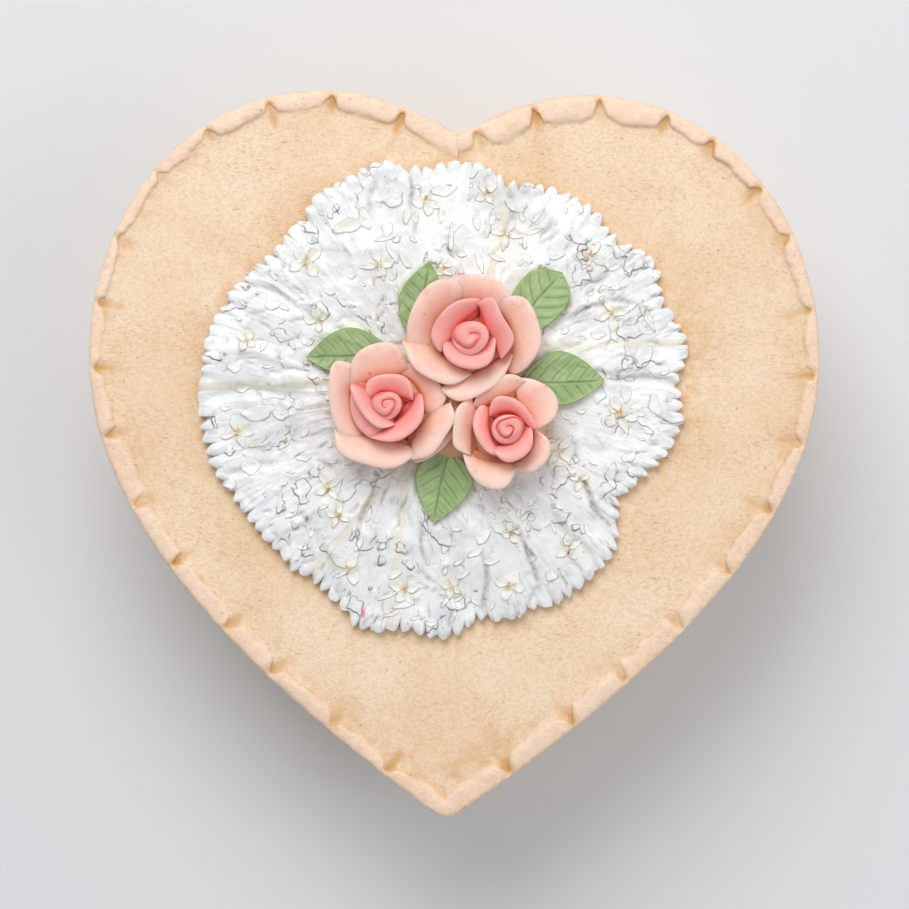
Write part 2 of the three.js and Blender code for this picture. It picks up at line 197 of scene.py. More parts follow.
class Bench:
    """Modelling steps that every piece shares."""

    @staticmethod
    def clear() -> None:
        """Leaves object mode with nothing selected."""
        if bpy.context.object and bpy.context.object.mode != "OBJECT":
            bpy.ops.object.mode_set(mode="OBJECT")
        bpy.ops.object.select_all(action="DESELECT")

    @staticmethod
    def active() -> bpy.types.Object:
        """The object that the last operator made."""
        return bpy.context.view_layer.objects.active

    @classmethod
    def pick(cls, piece: bpy.types.Object) -> None:
        """Selects one piece alone and makes it active."""
        cls.clear()
        piece.select_set(True)
        bpy.context.view_layer.objects.active = piece

    @classmethod
    def tidy(cls, piece: bpy.types.Object, merge: float = 1e-6) -> None:
        """Merges doubles and turns the faces outwards, in edit mode.

        Args:
            piece: The mesh piece.
            merge: Distance in metres below which two vertices become one.
        """
        cls.pick(piece)
        bpy.ops.object.mode_set(mode="EDIT")
        bpy.ops.mesh.select_all(action="SELECT")
        bpy.ops.mesh.remove_doubles(threshold=merge)
        bpy.ops.mesh.dissolve_degenerate(threshold=merge)
        bpy.ops.mesh.select_all(action="SELECT")
        bpy.ops.mesh.normals_make_consistent(inside=False)
        bpy.ops.object.mode_set(mode="OBJECT")

    @classmethod
    def draped_grid(cls, name: str, places: Points) -> bpy.types.Object:
        """Adds a grid primitive and moves its vertices to the given places.

        Args:
            name: The piece's name.
            places: Millimetres, shaped [rows, columns, 3].

        Returns:
            The new piece, with its seams still open.
        """
        rows, columns = places.shape[:2]
        cls.clear()
        bpy.ops.mesh.primitive_grid_add(
            x_subdivisions=columns - 1, y_subdivisions=rows - 1, size=2 * MM, location=(0, 0, 0)
        )
        piece = cls.active()
        piece.name = piece.data.name = name
        cls.place(piece, places)
        return piece

    @classmethod
    def joined(cls, pieces: Sequence[bpy.types.Object], name: str) -> bpy.types.Object:
        """Joins several pieces into one, under a name.

        Args:
            pieces: The closed pieces, which it uses up.
            name: The whole's name.

        Returns:
            The whole.
        """
        cls.clear()
        for piece in pieces:
            piece.select_set(True)
        bpy.context.view_layer.objects.active = pieces[0]
        bpy.ops.object.join()
        whole = cls.active()
        whole.name = whole.data.name = name
        return whole

    @staticmethod
    def paint(piece: bpy.types.Object, name: str, values: Points) -> None:
        """Stores one number for each vertex, or one for all, for a material to read.

        Args:
            piece: The mesh piece.
            name: The number's name.
            values: One for each vertex, or one alone.
        """
        layer = piece.data.attributes.new(name, "FLOAT", "POINT")
        spread = np.broadcast_to(np.asarray(values, np.float32).reshape(-1), len(layer.data))
        layer.data.foreach_set("value", np.ascontiguousarray(spread))

    @staticmethod
    def painted(piece: bpy.types.Object, name: str) -> Points:
        """Reads one number for each vertex."""
        values = np.empty(len(piece.data.vertices), np.float32)
        piece.data.attributes[name].data.foreach_get("value", values)
        return values.astype(float)

    @staticmethod
    def paint_places(piece: bpy.types.Object, name: str, values: Points) -> None:
        """Stores one vector for each vertex."""
        layer = piece.data.attributes.new(name, "FLOAT_VECTOR", "POINT")
        layer.data.foreach_set("vector", np.asarray(values, np.float32).reshape(-1))

    @staticmethod
    def places(piece: bpy.types.Object) -> Points:
        """The piece's vertices in millimetres."""
        co = np.empty(len(piece.data.vertices) * 3, np.float32)
        piece.data.vertices.foreach_get("co", co)
        return co.reshape(-1, 3).astype(float) / MM

    @staticmethod
    def place(piece: bpy.types.Object, points: Points) -> None:
        """Moves the piece's vertices to points in millimetres."""
        piece.data.vertices.foreach_set("co", (points * MM).reshape(-1).astype(np.float32))
        piece.data.update()

    @classmethod
    def hand_in(
        cls, piece: bpy.types.Object, node: str, slot: Slot, finish: bpy.types.Material, angle: float = 60
    ) -> bpy.types.Object:
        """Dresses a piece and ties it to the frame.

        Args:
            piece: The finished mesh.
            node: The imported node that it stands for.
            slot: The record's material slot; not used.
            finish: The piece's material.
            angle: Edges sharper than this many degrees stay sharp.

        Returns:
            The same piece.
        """
        cls.pick(piece)
        bpy.ops.object.shade_smooth_by_angle(angle=math.radians(angle))
        piece.data.materials.clear()
        piece.data.materials.append(finish)
        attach(piece, BODY)
        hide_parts(node)
        faces = sum(len(face.vertices) - 2 for face in piece.data.polygons)
        LOG.info("%s: %d triangles", piece.name, faces)
        return piece


class Board:
    """A short way to write a material's nodes."""

    def __init__(self, name: str) -> None:
        """Starts a material with one Principled shader."""
        self.material = bpy.data.materials.new(name)
        self.material.use_nodes = True
        self.tree = self.material.node_tree
        self.shader = self.tree.nodes["Principled BSDF"]
        self.object_place = self.tree.nodes.new("ShaderNodeTexCoord").outputs["Object"]

    def set(self, **values: object) -> None:
        """Sets uniform values on the shader's own sockets, named with underscores."""
        for key, value in values.items():
            self.shader.inputs[key.replace("_", " ")].default_value = value

    def link(self, source: bpy.types.NodeSocket, target: bpy.types.NodeSocket) -> None:
        """Joins two sockets."""
        self.tree.links.new(source, target)

    def feed(self, socket: bpy.types.NodeSocket, value: object) -> None:
        """Links a socket, or sets its value."""
        if isinstance(value, bpy.types.NodeSocket):
            self.link(value, socket)
        else:
            socket.default_value = value

    def number(self, name: str) -> bpy.types.NodeSocket:
        """A number stored on the piece's vertices."""
        node = self.tree.nodes.new("ShaderNodeAttribute")
        node.attribute_name = name
        return node.outputs["Fac"]

    def places(self, name: str) -> bpy.types.NodeSocket:
        """A vector stored on the piece's vertices."""
        node = self.tree.nodes.new("ShaderNodeAttribute")
        node.attribute_name = name
        return node.outputs["Vector"]

    def noise(
        self, scale: float, detail: float = 3, stretch: tuple[float, float, float] = (1, 1, 1),
        seed: float = 0, roughness: float = 0.55, place: bpy.types.NodeSocket | None = None, turn: float = 0,
    ) -> bpy.types.NodeSocket:
        """Noise over the piece's own coordinates.

        Args:
            scale: Features for each metre.
            detail: Finer layers.
            stretch: Scale along each axis.
            seed: Shift of the pattern.
            roughness: Strength of the finer layers.
            place: Other coordinates to read.
            turn: Degrees by which the pattern is turned about +Z.

        Returns:
            A socket from 0 to 1.
        """
        mapping = self.tree.nodes.new("ShaderNodeMapping")
        mapping.inputs["Rotation"].default_value = (0, 0, math.radians(turn))
        mapping.inputs["Scale"].default_value = stretch
        mapping.inputs["Location"].default_value = (seed, seed * 0.7, seed * 0.3)
        self.link(place or self.object_place, mapping.inputs["Vector"])
        node = self.tree.nodes.new("ShaderNodeTexNoise")
        node.inputs["Scale"].default_value = scale
        node.inputs["Detail"].default_value = detail
        node.inputs["Roughness"].default_value = roughness
        self.link(mapping.outputs["Vector"], node.inputs["Vector"])
        return node.outputs["Fac"]

    def span(
        self, value: bpy.types.NodeSocket, low: float, high: float, start: float = 0, end: float = 1
    ) -> bpy.types.NodeSocket:
        """Maps a stretch of values smoothly to another, clamped.

        Args:
            value: The socket to read.
            low: Where the stretch starts.
            high: Where it ends.
            start: What low becomes.
            end: What high becomes.

        Returns:
            A socket with the result.
        """
        node = self.tree.nodes.new("ShaderNodeMapRange")
        node.interpolation_type = "SMOOTHSTEP"
        self.link(value, node.inputs["Value"])
        for key, number in (("From Min", low), ("From Max", high), ("To Min", start), ("To Max", end)):
            node.inputs[key].default_value = number
        return node.outputs["Result"]

    def math(self, kind: str, a: object, b: object = 0.0) -> bpy.types.NodeSocket:
        """One step of arithmetic.

        Args:
            kind: The Math node's operation.
            a: A socket or a number.
            b: A socket or a number.

        Returns:
            A socket with the result.
        """
        node = self.tree.nodes.new("ShaderNodeMath")
        node.operation = kind
        self.feed(node.inputs[0], a)
        self.feed(node.inputs[1], b)
        return node.outputs["Value"]

    def mix(self, share: object, a: object, b: object) -> bpy.types.NodeSocket:
        """Mixes two colours by a share.

        Args:
            share: A socket or a number, 0 for the first colour.
            a: A socket or a colour.
            b: A socket or a colour.

        Returns:
            A socket with the result.
        """
        node = self.tree.nodes.new("ShaderNodeMix")
        node.data_type = "RGBA"
        self.feed(node.inputs["Factor"], share)
        colours = [s for s in node.inputs if s.type == "RGBA"]
        for socket, value in zip(colours, (a, b)):
            self.feed(socket, value if isinstance(value, bpy.types.NodeSocket) else (*value, 1))
        return next(s for s in node.outputs if s.type == "RGBA")

    def bump(self, height: bpy.types.NodeSocket, strength: float, distance: float) -> None:
        """Adds a bump to the shader, on top of the ones before it.

        Args:
            height: The relief to read.
            strength: From 0 to 1.
            distance: The relief's height in metres.
        """
        node = self.tree.nodes.new("ShaderNodeBump")
        node.inputs["Strength"].default_value = strength
        node.inputs["Distance"].default_value = distance
        self.link(height, node.inputs["Height"])
        before = self.shader.inputs["Normal"]
        if before.is_linked:
            self.link(before.links[0].from_socket, node.inputs["Normal"])
        self.link(node.outputs["Normal"], before)


@dataclass(frozen=True)
class ResinFinish:
    """Cream resin with tan antiquing, short brown dashes, a satin face and some painted shade."""

    name: str = "antiqued_resin"
    cream: Colour = (0.87, 0.655, 0.435)
    pale: Colour = (0.93, 0.75, 0.55)
    peach: Colour = (0.80, 0.51, 0.29)
    hem: Colour = (0.93, 0.69, 0.54)
    tan: Colour = (0.60, 0.31, 0.07)
    dash: Colour = (0.36, 0.19, 0.08)
    pink: Colour = (0.86, 0.45, 0.36)
    stain_and_shade_tone: Colour = (0.76, 0.43, 0.18)
    streak: Colour = (0.60, 0.38, 0.20)
    grime: Colour = (0.62, 0.41, 0.23)
    roughness: float = 0.5

    def material(self) -> bpy.types.Material:
        """Builds the material. It reads three numbers: stains with painted shade, notch and blush."""
        board = Board(self.name)
        cloud = board.noise(55, 4, seed=0.31)
        body = board.mix(board.span(cloud, 0.34, 0.66), self.cream, self.pale)
        warm = board.noise(95, 4, seed=0.57, roughness=0.6)
        body = board.mix(board.span(warm, 0.47, 0.78, 0, 0.42), body, self.peach)
        fade = board.span(board.noise(260, 3), 0.3, 0.7, 0.55, 1)
        body = board.mix(board.math("MULTIPLY", board.number("blush"), fade), body, self.hem)
        pink = board.span(board.noise(700, 2, seed=0.9), 0.55, 0.8, 0, 0.45)
        body = board.mix(board.math("MULTIPLY", board.number("blush"), pink), body, self.pink)
        patch = board.noise(330, 5, seed=0.11, roughness=0.65)
        # Stains, with painted shade under the lid, at the lid's lower edge and beside the lace on the right
        # lobe
        stain_and_shade = board.math("MULTIPLY", board.number("stain_and_shade"), board.span(patch, 0.36, 0.66, 0.1, 1))
        body = board.mix(stain_and_shade, body, self.stain_and_shade_tone)
        notch = board.math("MULTIPLY", board.number("notch"), board.span(patch, 0.3, 0.6, 0.35, 1))
        body = board.mix(notch, body, self.tan)
        fine = board.noise(1250, 1, stretch=(1, 2.6, 1), seed=0.77, turn=-11)
        plain = board.span(board.number("blush"), 0, 1, 1, 0.6)
        grouped = board.math("MULTIPLY", board.span(warm, 0.35, 0.65, 0.3, 1), plain)
        faint = board.math("MULTIPLY", board.span(fine, 0.52, 0.75, 0, 0.6), grouped)
        body = board.mix(faint, body, self.streak)
        grain = board.noise(2100, 2, seed=0.36)
        ground_in = board.math("MULTIPLY", board.span(grain, 0.38, 0.68, 0, 0.32), plain)
        body = board.mix(ground_in, body, self.grime)
        dashes = board.noise(800, 0, stretch=(1, 3.4, 1), seed=0.93, turn=-8)
        dark = board.math("MULTIPLY", board.span(dashes, 0.76, 0.86, 0, 0.5), grouped)
        body = board.mix(dark, body, self.dash)
        specks = board.noise(1500, 0, seed=0.21)
        body = board.mix(board.span(specks, 0.81, 0.86, 0, 0.5), body, self.dash)
        board.link(body, board.shader.inputs["Base Color"])
        matt = board.span(cloud, 0.3, 0.7, self.roughness - 0.06, self.roughness + 0.08)
        board.link(matt, board.shader.inputs["Roughness"])
        board.set(Subsurface_Weight=0.08, Subsurface_Scale=0.002, Specular_IOR_Level=0.4)
        board.bump(board.noise(1000, 4, stretch=(1, 2.2, 1)), 0.22, 0.0002)
        board.bump(board.noise(140, 3, seed=0.4), 0.18, 0.0008)
        return board.material


@dataclass(frozen=True)
class LaceFinish:
    """White paint over cream resin, thin in the creases and worn on the edges, with painted shade in the low
    parts of its folds.
    """

    name: str = "lace_paint"
    white: Colour = (0.97, 0.97, 0.96)
    shade: Colour = (0.64, 0.64, 0.65)
    groove: Colour = (0.25, 0.225, 0.18)
    cream: Colour = (0.82, 0.75, 0.57)
    ochre: Colour = (0.56, 0.34, 0.10)
    bare: Colour = (0.66, 0.50, 0.30)
    spot: Colour = (0.75, 0.16, 0.20)

    def material(self) -> bpy.types.Material:
        """Builds the material. It reads groove, the painted shade of the hollows, cream, ochre, bare, spot,
        gather, ray.
        """
        board = Board(self.name)
        ray, gather = board.places("ray"), board.number("gather")
        cloud = board.noise(230, 4, seed=0.3)
        body = board.mix(board.span(cloud, 0.36, 0.7, 0, 0.5), self.white, self.shade)
        # Painted shade in the low parts of the folds and towards the tip
        body = board.mix(board.number("hollow_shade"), body, self.shade)
        grain = board.noise(1300, 3, seed=0.6)
        folds = board.noise(22, 2, place=ray, roughness=0.5)
        crossing = board.math("ABSOLUTE", board.math("SUBTRACT", folds, 0.5))
        line = board.math("MULTIPLY", board.span(crossing, 0.0, 0.016, 1, 0), gather)
        broken = board.span(board.noise(420, 2, seed=0.8), 0.44, 0.62)
        line = board.math("MULTIPLY", line, broken)
        body = board.mix(board.math("MULTIPLY", line, 0.7), body, self.groove)
        shapes = board.noise(240, 2, seed=0.47, roughness=0.55)
        outline = board.math("ABSOLUTE", board.math("SUBTRACT", shapes, 0.56))
        where = board.span(board.noise(120, 2, seed=0.12), 0.46, 0.58)
        outline = board.math("MULTIPLY", board.span(outline, 0.002, 0.016, 1, 0), where)
        inked = board.math("MULTIPLY", board.math("MULTIPLY", outline, broken), 0.75)
        body = board.mix(inked, body, self.groove)
        aged = board.math("MULTIPLY", board.span(folds, 0.58, 0.74, 0, 0.25), gather)
        body = board.mix(board.math("MULTIPLY", aged, broken), body, self.cream)
        cream = board.math("MULTIPLY", board.number("cream"), board.span(grain, 0.3, 0.6, 0.4, 1))
        body = board.mix(cream, body, self.cream)
        drawn = board.math("MULTIPLY", board.number("groove"), board.span(grain, 0.35, 0.6, 0.5, 1))
        body = board.mix(drawn, body, self.groove)
        heart = board.math("MULTIPLY", board.number("ochre"), board.span(grain, 0.4, 0.65, 0.35, 1))
        body = board.mix(heart, body, self.ochre)
        body = board.mix(board.number("bare"), body, self.bare)
        body = board.mix(board.number("spot"), body, self.spot)
        board.link(body, board.shader.inputs["Base Color"])
        board.link(board.span(cloud, 0.3, 0.7, 0.24, 0.42), board.shader.inputs["Roughness"])
        board.set(Subsurface_Weight=0.05, Subsurface_Scale=0.001, Specular_IOR_Level=0.45)
        board.bump(board.noise(1500, 3), 0.2, 0.00012)
        board.bump(board.noise(420, 3, seed=0.2), 0.5, 0.0004)
        board.bump(board.math("MULTIPLY", board.span(shapes, 0.53, 0.58), where), 0.8, 0.0005)
        board.bump(board.noise(170, 3, seed=0.9), 0.5, 0.0009)
        board.bump(board.math("MULTIPLY", folds, gather), 0.5, 0.0009)
        return board.material


@dataclass(frozen=True)
class PetalFinish:
    """Peach and coral paint, translucent, with a painted highlight along the petals' lips and painted shade
    towards their roots.
    """

    name: str = "petal_paint"
    peach: Colour = (0.89, 0.54, 0.42)
    peach_highlight: Colour = (0.91, 0.64, 0.54)
    coral: Colour = (0.95, 0.31, 0.28)
    coral_highlight: Colour = (0.97, 0.44, 0.40)
    amber: Colour = (0.76, 0.43, 0.20)
    pale: Colour = (0.92, 0.72, 0.60)
    ruddy: Colour = (0.87, 0.34, 0.28)
    peach_root_shade: Colour = (0.74, 0.36, 0.17)
    coral_root_shade: Colour = (0.72, 0.15, 0.10)
    speck: Colour = (0.55, 0.16, 0.12)

    def material(self) -> bpy.types.Material:
        """Builds the material. It reads inner, depth and bed; depth carries the painted highlight and shade.
        """
        board = Board(self.name)
        cloud = board.noise(210, 4, seed=0.4)
        inner, depth = board.number("inner"), board.number("depth")
        # Painted highlight along the petals' lips
        lip = board.span(depth, 0.0, 0.6)
        outer = board.mix(lip, self.peach_highlight, self.peach)
        heart = board.mix(lip, self.coral_highlight, self.coral)
        body = board.mix(inner, outer, heart)
        pale = board.math("MULTIPLY", board.span(cloud, 0.5, 0.72, 0, 0.5), board.span(inner, 0, 1, 1, 0.3))
        body = board.mix(pale, body, self.pale)
        ruddy = board.noise(420, 4, seed=0.66)
        body = board.mix(board.span(ruddy, 0.5, 0.74, 0, 0.36), body, self.ruddy)
        # Painted shade towards the petals' roots
        root = board.mix(inner, self.peach_root_shade, self.coral_root_shade)
        body = board.mix(board.span(depth, 0.52, 0.95, 0, 0.8), body, root)
        body = board.mix(board.number("bed"), body, self.amber)
        specks = board.noise(1300, 0, seed=0.25)
        body = board.mix(board.span(specks, 0.80, 0.86, 0, 0.5), body, self.speck)
        board.link(body, board.shader.inputs["Base Color"])
        board.link(board.span(cloud, 0.3, 0.7, 0.38, 0.52), board.shader.inputs["Roughness"])
        board.set(Subsurface_Weight=0.3, Subsurface_Scale=0.0015, Specular_IOR_Level=0.45)
        board.shader.inputs["Subsurface Radius"].default_value = (1.0, 0.45, 0.3)
        board.bump(board.noise(700, 4), 0.25, 0.0002)
        board.bump(board.noise(190, 3, seed=0.7), 0.3, 0.0006)
        return board.material


@dataclass(frozen=True)
class LeafFinish:
    """Sage green paint with darker veins, and painted shade along its edges."""

    name: str = "leaf_paint"
    green: Colour = (0.29, 0.42, 0.165)
    light: Colour = (0.42, 0.54, 0.26)
    dark: Colour = (0.09, 0.19, 0.07)
    dry: Colour = (0.55, 0.66, 0.48)

    def material(self) -> bpy.types.Material:
        """Builds the material. It reads vein and rim, the painted shade along the edges."""
        board = Board(self.name)
        cloud = board.noise(300, 4, seed=0.15)
        body = board.mix(board.span(cloud, 0.3, 0.7), self.green, self.light)
        body = board.mix(board.math("MULTIPLY", board.number("vein"), 0.8), body, self.dark)
        # Painted shade along the leaf's edges
        body = board.mix(board.math("MULTIPLY", board.number("rim"), 0.6), body, self.dark)
        dry = board.noise(900, 3, seed=0.5)
        body = board.mix(board.span(dry, 0.6, 0.8, 0, 0.3), body, self.dry)
        board.link(body, board.shader.inputs["Base Color"])
        board.link(board.span(cloud, 0.3, 0.7, 0.4, 0.55), board.shader.inputs["Roughness"])
        board.set(Subsurface_Weight=0.05, Subsurface_Scale=0.001, Specular_IOR_Level=0.45)
        board.bump(board.noise(1100, 3), 0.2, 0.00015)
        return board.material


@dataclass(frozen=True)
class HeartOutline:
    """The heart's outline, as in the part's source.

    Attributes:
        tip_radius: Radius that rounds the tip.
        width: Across the lobes.
        length: From the lobes' tops to the tip.
        lobe_spacing: Between the lobes' tops.
        cleft_depth: From the lobes' tops down to the cleft.
        shoulder_drop: From the lobes' tops down to the widest place.
    """

    tip_radius: float
    width: float = 115
    length: float = 114
    lobe_spacing: float = 41
    cleft_depth: float = 6.6
    shoulder_drop: float = 41.8

    @cached_property
    def steps(self) -> tuple[Points, Points, Points]:
        """Places, inward directions and run along the right half, cleft to tip."""
        half, top, lobe = self.width / 2, self.length / 2, self.lobe_spacing / 2
        shoulder = top - self.shoulder_drop
        fall = shoulder + top
        handle = np.array([half * 0.686, fall * 0.384])
        tip_angle = math.atan2(handle[0], handle[1])
        sharp = -top - LID_TIP_RADIUS * (1 / math.sin(tip_angle) - 1)
        curves = (
            (
                (0, top - self.cleft_depth), (lobe * 0.27, top - self.cleft_depth * 0.5),
                (lobe * 0.63, top), (lobe, top),
            ),
            (
                (lobe, top), (lobe + (half - lobe) * 0.59, top),
                (half, shoulder + self.shoulder_drop * 0.545), (half, shoulder),
            ),
            ((half, shoulder), (half, shoulder - fall * 0.318), (handle[0], sharp + handle[1]), (0, sharp)),
        )
        places, inward = [], []
        t = np.linspace(0, 1, 401)[:, None]
        for curve in curves:
            a, b, c, d = (np.array(p, float) for p in curve)
            places.append((1 - t) ** 3 * a + 3 * t * (1 - t) ** 2 * b + 3 * t**2 * (1 - t) * c + t**3 * d)
            along = 3 * (1 - t) ** 2 * (b - a) + 6 * t * (1 - t) * (c - b) + 3 * t**2 * (d - c)
            along /= np.linalg.norm(along, axis=1, keepdims=True)
            inward.append(np.column_stack([along[:, 1], -along[:, 0]]))
        place, way = np.vstack(places), np.vstack(inward)
        beyond = (place[:, 0] + way[:, 0] * self.tip_radius < 0) & (np.arange(len(place)) > 600)
        last = int(np.argmax(beyond))
        place, way = place[:last], way[:last]
        centre = np.array([0.0, place[-1, 1] + way[-1, 1] * self.tip_radius])
        angles = np.linspace(math.atan2(-way[-1, 1], -way[-1, 0]), -math.pi / 2, 41)[1:]
        out = np.column_stack([np.cos(angles), np.sin(angles)])
        place = np.vstack([place, centre + out * self.tip_radius])
        way = np.vstack([way, -out])
        run = np.concatenate([[0], np.cumsum(np.linalg.norm(np.diff(place, axis=0), axis=1))])
        keep = np.concatenate([[True], np.diff(run) > 1e-9])
        return place[keep], way[keep], run[keep]

    def side(self, shares: Points, inset: Points) -> Points:
        """Right-hand points at shares of the way from the cleft to the tip.

        Args:
            shares: From 0 at the cleft to 1 at the tip.
            inset: Distance inwards from the outline, for each share.

        Returns:
            Places, shaped [len(shares), 2].
        """
        place, way, run = self.steps
        wanted = shares * run[-1]
        at = np.column_stack([np.interp(wanted, run, place[:, i]) for i in (0, 1)])
        inward = np.column_stack([np.interp(wanted, run, way[:, i]) for i in (0, 1)])
        inward /= np.linalg.norm(inward, axis=1, keepdims=True)
        moved = at + inward * inset[:, None]
        moved[0] = at[0] + np.array([0, -1]) * inset[0]
        for i in np.nonzero((moved[:, 0] <= 1e-6) & (shares > 0.5))[0]:
            path = place + way * inset[i]
            crossing = np.nonzero((path[:, 0] <= 1e-6) & (np.arange(len(path)) > len(path) // 2))[0]
            moved[i] = (0, path[crossing[0] if len(crossing) else -1, 1])
        return moved

    def ring(self, shares: Points, inset: Callable[[Points, int], Points] | float) -> Points:
        """A whole ring, anticlockwise from the cleft, closed by repeating its first point.

        Args:
            shares: Shares of one side, from 0 to 1.
            inset: A distance, or a function of the shares and of the side, -1 or 1.

        Returns:
            Places, shaped [2 * len(shares) - 1, 2].
        """
        value = inset if callable(inset) else lambda share, side: np.full(len(share), float(inset))
        left = self.side(shares, value(shares, -1)) * np.array([-1, 1])
        right = self.side(shares, value(shares, 1))[::-1]
        return np.vstack([left, right[1:]])

    def distance(self, points: Points) -> Points:
        """Distance inwards from the outline to points inside it.

        Args:
            points: Places, shaped [n, 2].

        Returns:
            One distance for each point.
        """
        place = self.steps[0][::6]
        both = np.vstack([place, place * np.array([-1, 1])])
        found = np.empty(len(points))
        for start in range(0, len(points), 4000):
            part = points[start : start + 4000]
            gap = part[:, None, :] - both[None, :, :]
            found[start : start + 4000] = np.sqrt((gap**2).sum(axis=2).min(axis=1))
        return found


LID_OUTLINE = HeartOutline(tip_radius=LID_TIP_RADIUS)
BOX_OUTLINE = HeartOutline(tip_radius=BOX_TIP_RADIUS)


@dataclass(frozen=True)
class Ring:
    """One ring of a heart-shaped skin.

    Attributes:
        inset: Distance inwards from the outline, or a function of shares and side.
        height: Millimetres above the ground, or a function of shares and side.
        reach: Below 1, the ring is drawn towards the heart's middle.
        outline: The outline that the ring follows.
    """

    inset: Callable[[Points, int], Points] | float
    height: Callable[[Points, int], Points] | float
    reach: float = 1.0
    outline: HeartOutline = LID_OUTLINE

    def places(self, shares: Points, middle: Points) -> Points:
        """The ring's points, shaped [n, 3].

        Args:
            shares: Shares of one side, from 0 to 1.
            middle: What the ring is drawn towards.

        Returns:
            The places, closed by repeating the first.
        """
        flat = self.outline.ring(shares, self.inset)
        flat = middle + (flat - middle) * self.reach
        if callable(self.height):
            left, right = (self.height(shares, side) + 0 * shares for side in (-1, 1))
            z = np.concatenate([left, right[::-1][1:]])
        else:
            z = np.full(len(flat), float(self.height))
        return np.column_stack([flat, z])


def heart_skin(
    name: str, rings: Sequence[Ring], shares: Points, paints: dict[str, Points] | None = None
) -> bpy.types.Object:
    """A skin through a stack of heart-shaped rings, closed at its poles and its seam.

    Args:
        name: The piece's name.
        rings: From one pole to the other, or round to the first ring again.
        shares: Shares of one side, from 0 to 1.
        paints: Numbers to store, one for each column of points.

    Returns:
        The closed piece.
    """
    places = np.stack([ring.places(shares, HEART_MIDDLE) for ring in rings])
    piece = Bench.draped_grid(name, places)
    for key, values in (paints or {}).items():
        Bench.paint(piece, key, np.broadcast_to(values, places.shape[:2]))
    Bench.tidy(piece)
    return piece


@dataclass(frozen=True)
class BoxShell:
    """The open tray under the lid."""

    lid_overhang: float = 2.0
    taper: float = 2.4
    wall: float = 4.5
    floor: float = 4.0
    foot_radius: float = 1.6
    fillet: float = 2.0
    rim_round: float = 0.5
    stations: int = 180

    def rings(self) -> list[Ring]:
        """Rings from the underside's middle, round the wall, to the floor's middle."""
        top, foot = self.lid_overhang, self.lid_overhang + self.taper
        belly = self.lid_overhang + self.taper * 0.3
        cavity = self.lid_overhang + self.wall
        cavity_foot = foot + self.wall
        ring = lambda inset, z, reach=1.0: Ring(inset, z, reach, BOX_OUTLINE)
        rings = [ring(foot + self.foot_radius, 0, reach) for reach in (0, 0.3, 0.6, 0.85, 1)]
        for turn in np.linspace(0.25, 1, 4):
            angle = turn * math.pi / 2
            out = self.foot_radius * (1 - math.sin(angle))
            rings.append(ring(foot + out, self.foot_radius * (1 - math.cos(angle))))
        for t in np.linspace(0, 1, 9)[1:-1]:
            bulge = foot + (top - foot) * t - 4 * (foot + (top - foot) * 0.5 - belly) * t * (1 - t)
            rings.append(ring(bulge, self.foot_radius + (BOX_TOP - self.rim_round - self.foot_radius) * t))
        r = self.rim_round
        rings += [ring(top, BOX_TOP - r), ring(top + r * 0.3, BOX_TOP - r * 0.3), ring(top + r, BOX_TOP)]
        rings += [ring(cavity - r, BOX_TOP), ring(cavity - r * 0.3, BOX_TOP - r * 0.3)]
        rings.append(ring(cavity, BOX_TOP - r))
        for t in (0.35, 0.7, 1.0):
            z = (BOX_TOP - r) + (self.floor + self.fillet - BOX_TOP + r) * t
            rings.append(ring(cavity + (cavity_foot - cavity) * t, z))
        rings.append(ring(cavity_foot + self.fillet * 0.3, self.floor + self.fillet * 0.3))
        rings += [ring(cavity_foot + self.fillet, self.floor, reach) for reach in (1, 0.85, 0.6, 0.3, 0)]
        return rings

    def build(self, finish: bpy.types.Material) -> bpy.types.Object:
        """Models the tray and gives its walls a hand-cast unevenness.

        Args:
            finish: The resin.

        Returns:
            The tray.
        """
        piece = heart_skin("box_shell", self.rings(), np.linspace(0, 1, self.stations + 1))
        points = Bench.places(piece)
        wobble = Noise(11).layered(points[:, 0] / 14 + 40, points[:, 1] / 14 + points[:, 2] / 9 + 40, 2)
        side = smooth_step(2.5, 8, points[:, 2]) * smooth_step(BOX_TOP, BOX_TOP - 4, points[:, 2])
        toward = points[:, :2] - HEART_MIDDLE
        toward /= np.maximum(np.linalg.norm(toward, axis=1, keepdims=True), 1e-6)
        points[:, :2] -= toward * (0.12 + 0.12 * wobble * side)[:, None]
        Bench.place(piece, points)
        # Painted shade just under the lid's overhang; the wall also darkens towards the foot
        under_lid = smooth_step(BOX_TOP - 5, BOX_TOP - 0.5, points[:, 2])
        foot = smooth_step(5, 0.5, points[:, 2])
        Bench.paint(piece, "stain_and_shade", 0.5 * under_lid + 0.6 * foot + 0.06)
        Bench.paint(piece, "blush", 0)
        Bench.paint(piece, "notch", 0.25 * foot)
        return Bench.hand_in(piece, "box", Slot.RESIN, finish, 50)


@dataclass(frozen=True)
class LipRing:
    """The lip under the lid, which drops inside the box's wall."""

    inset: float = 7.1
    width: float = 3.0
    edge: float = 0.4
    stations: int = 180

    def build(self, finish: bpy.types.Material) -> bpy.types.Object:
        """Models the lip as a ring with softened lower edges.

        Args:
            finish: The resin.

        Returns:
            The lip.
        """
        out, inner, foot, edge = self.inset, self.inset + self.width, LIP_FOOT, self.edge
        profile = (
            (out, BOX_TOP), (out, foot + edge), (out + edge * 0.3, foot + edge * 0.3), (out + edge, foot),
            (inner - edge, foot), (inner - edge * 0.3, foot + edge * 0.3), (inner, foot + edge),
            (inner, BOX_TOP), (out, BOX_TOP),
        )
        rings = [Ring(inset, z, 1.0, BOX_OUTLINE) for inset, z in profile]
        piece = heart_skin("lid_lip_ring", rings, np.linspace(0, 1, self.stations + 1))
        Bench.paint(piece, "stain_and_shade", 0.15)
        Bench.paint(piece, "blush", 0)
        Bench.paint(piece, "notch", 0)
        return Bench.hand_in(piece, "lid_lip", Slot.RESIN, finish, 40)


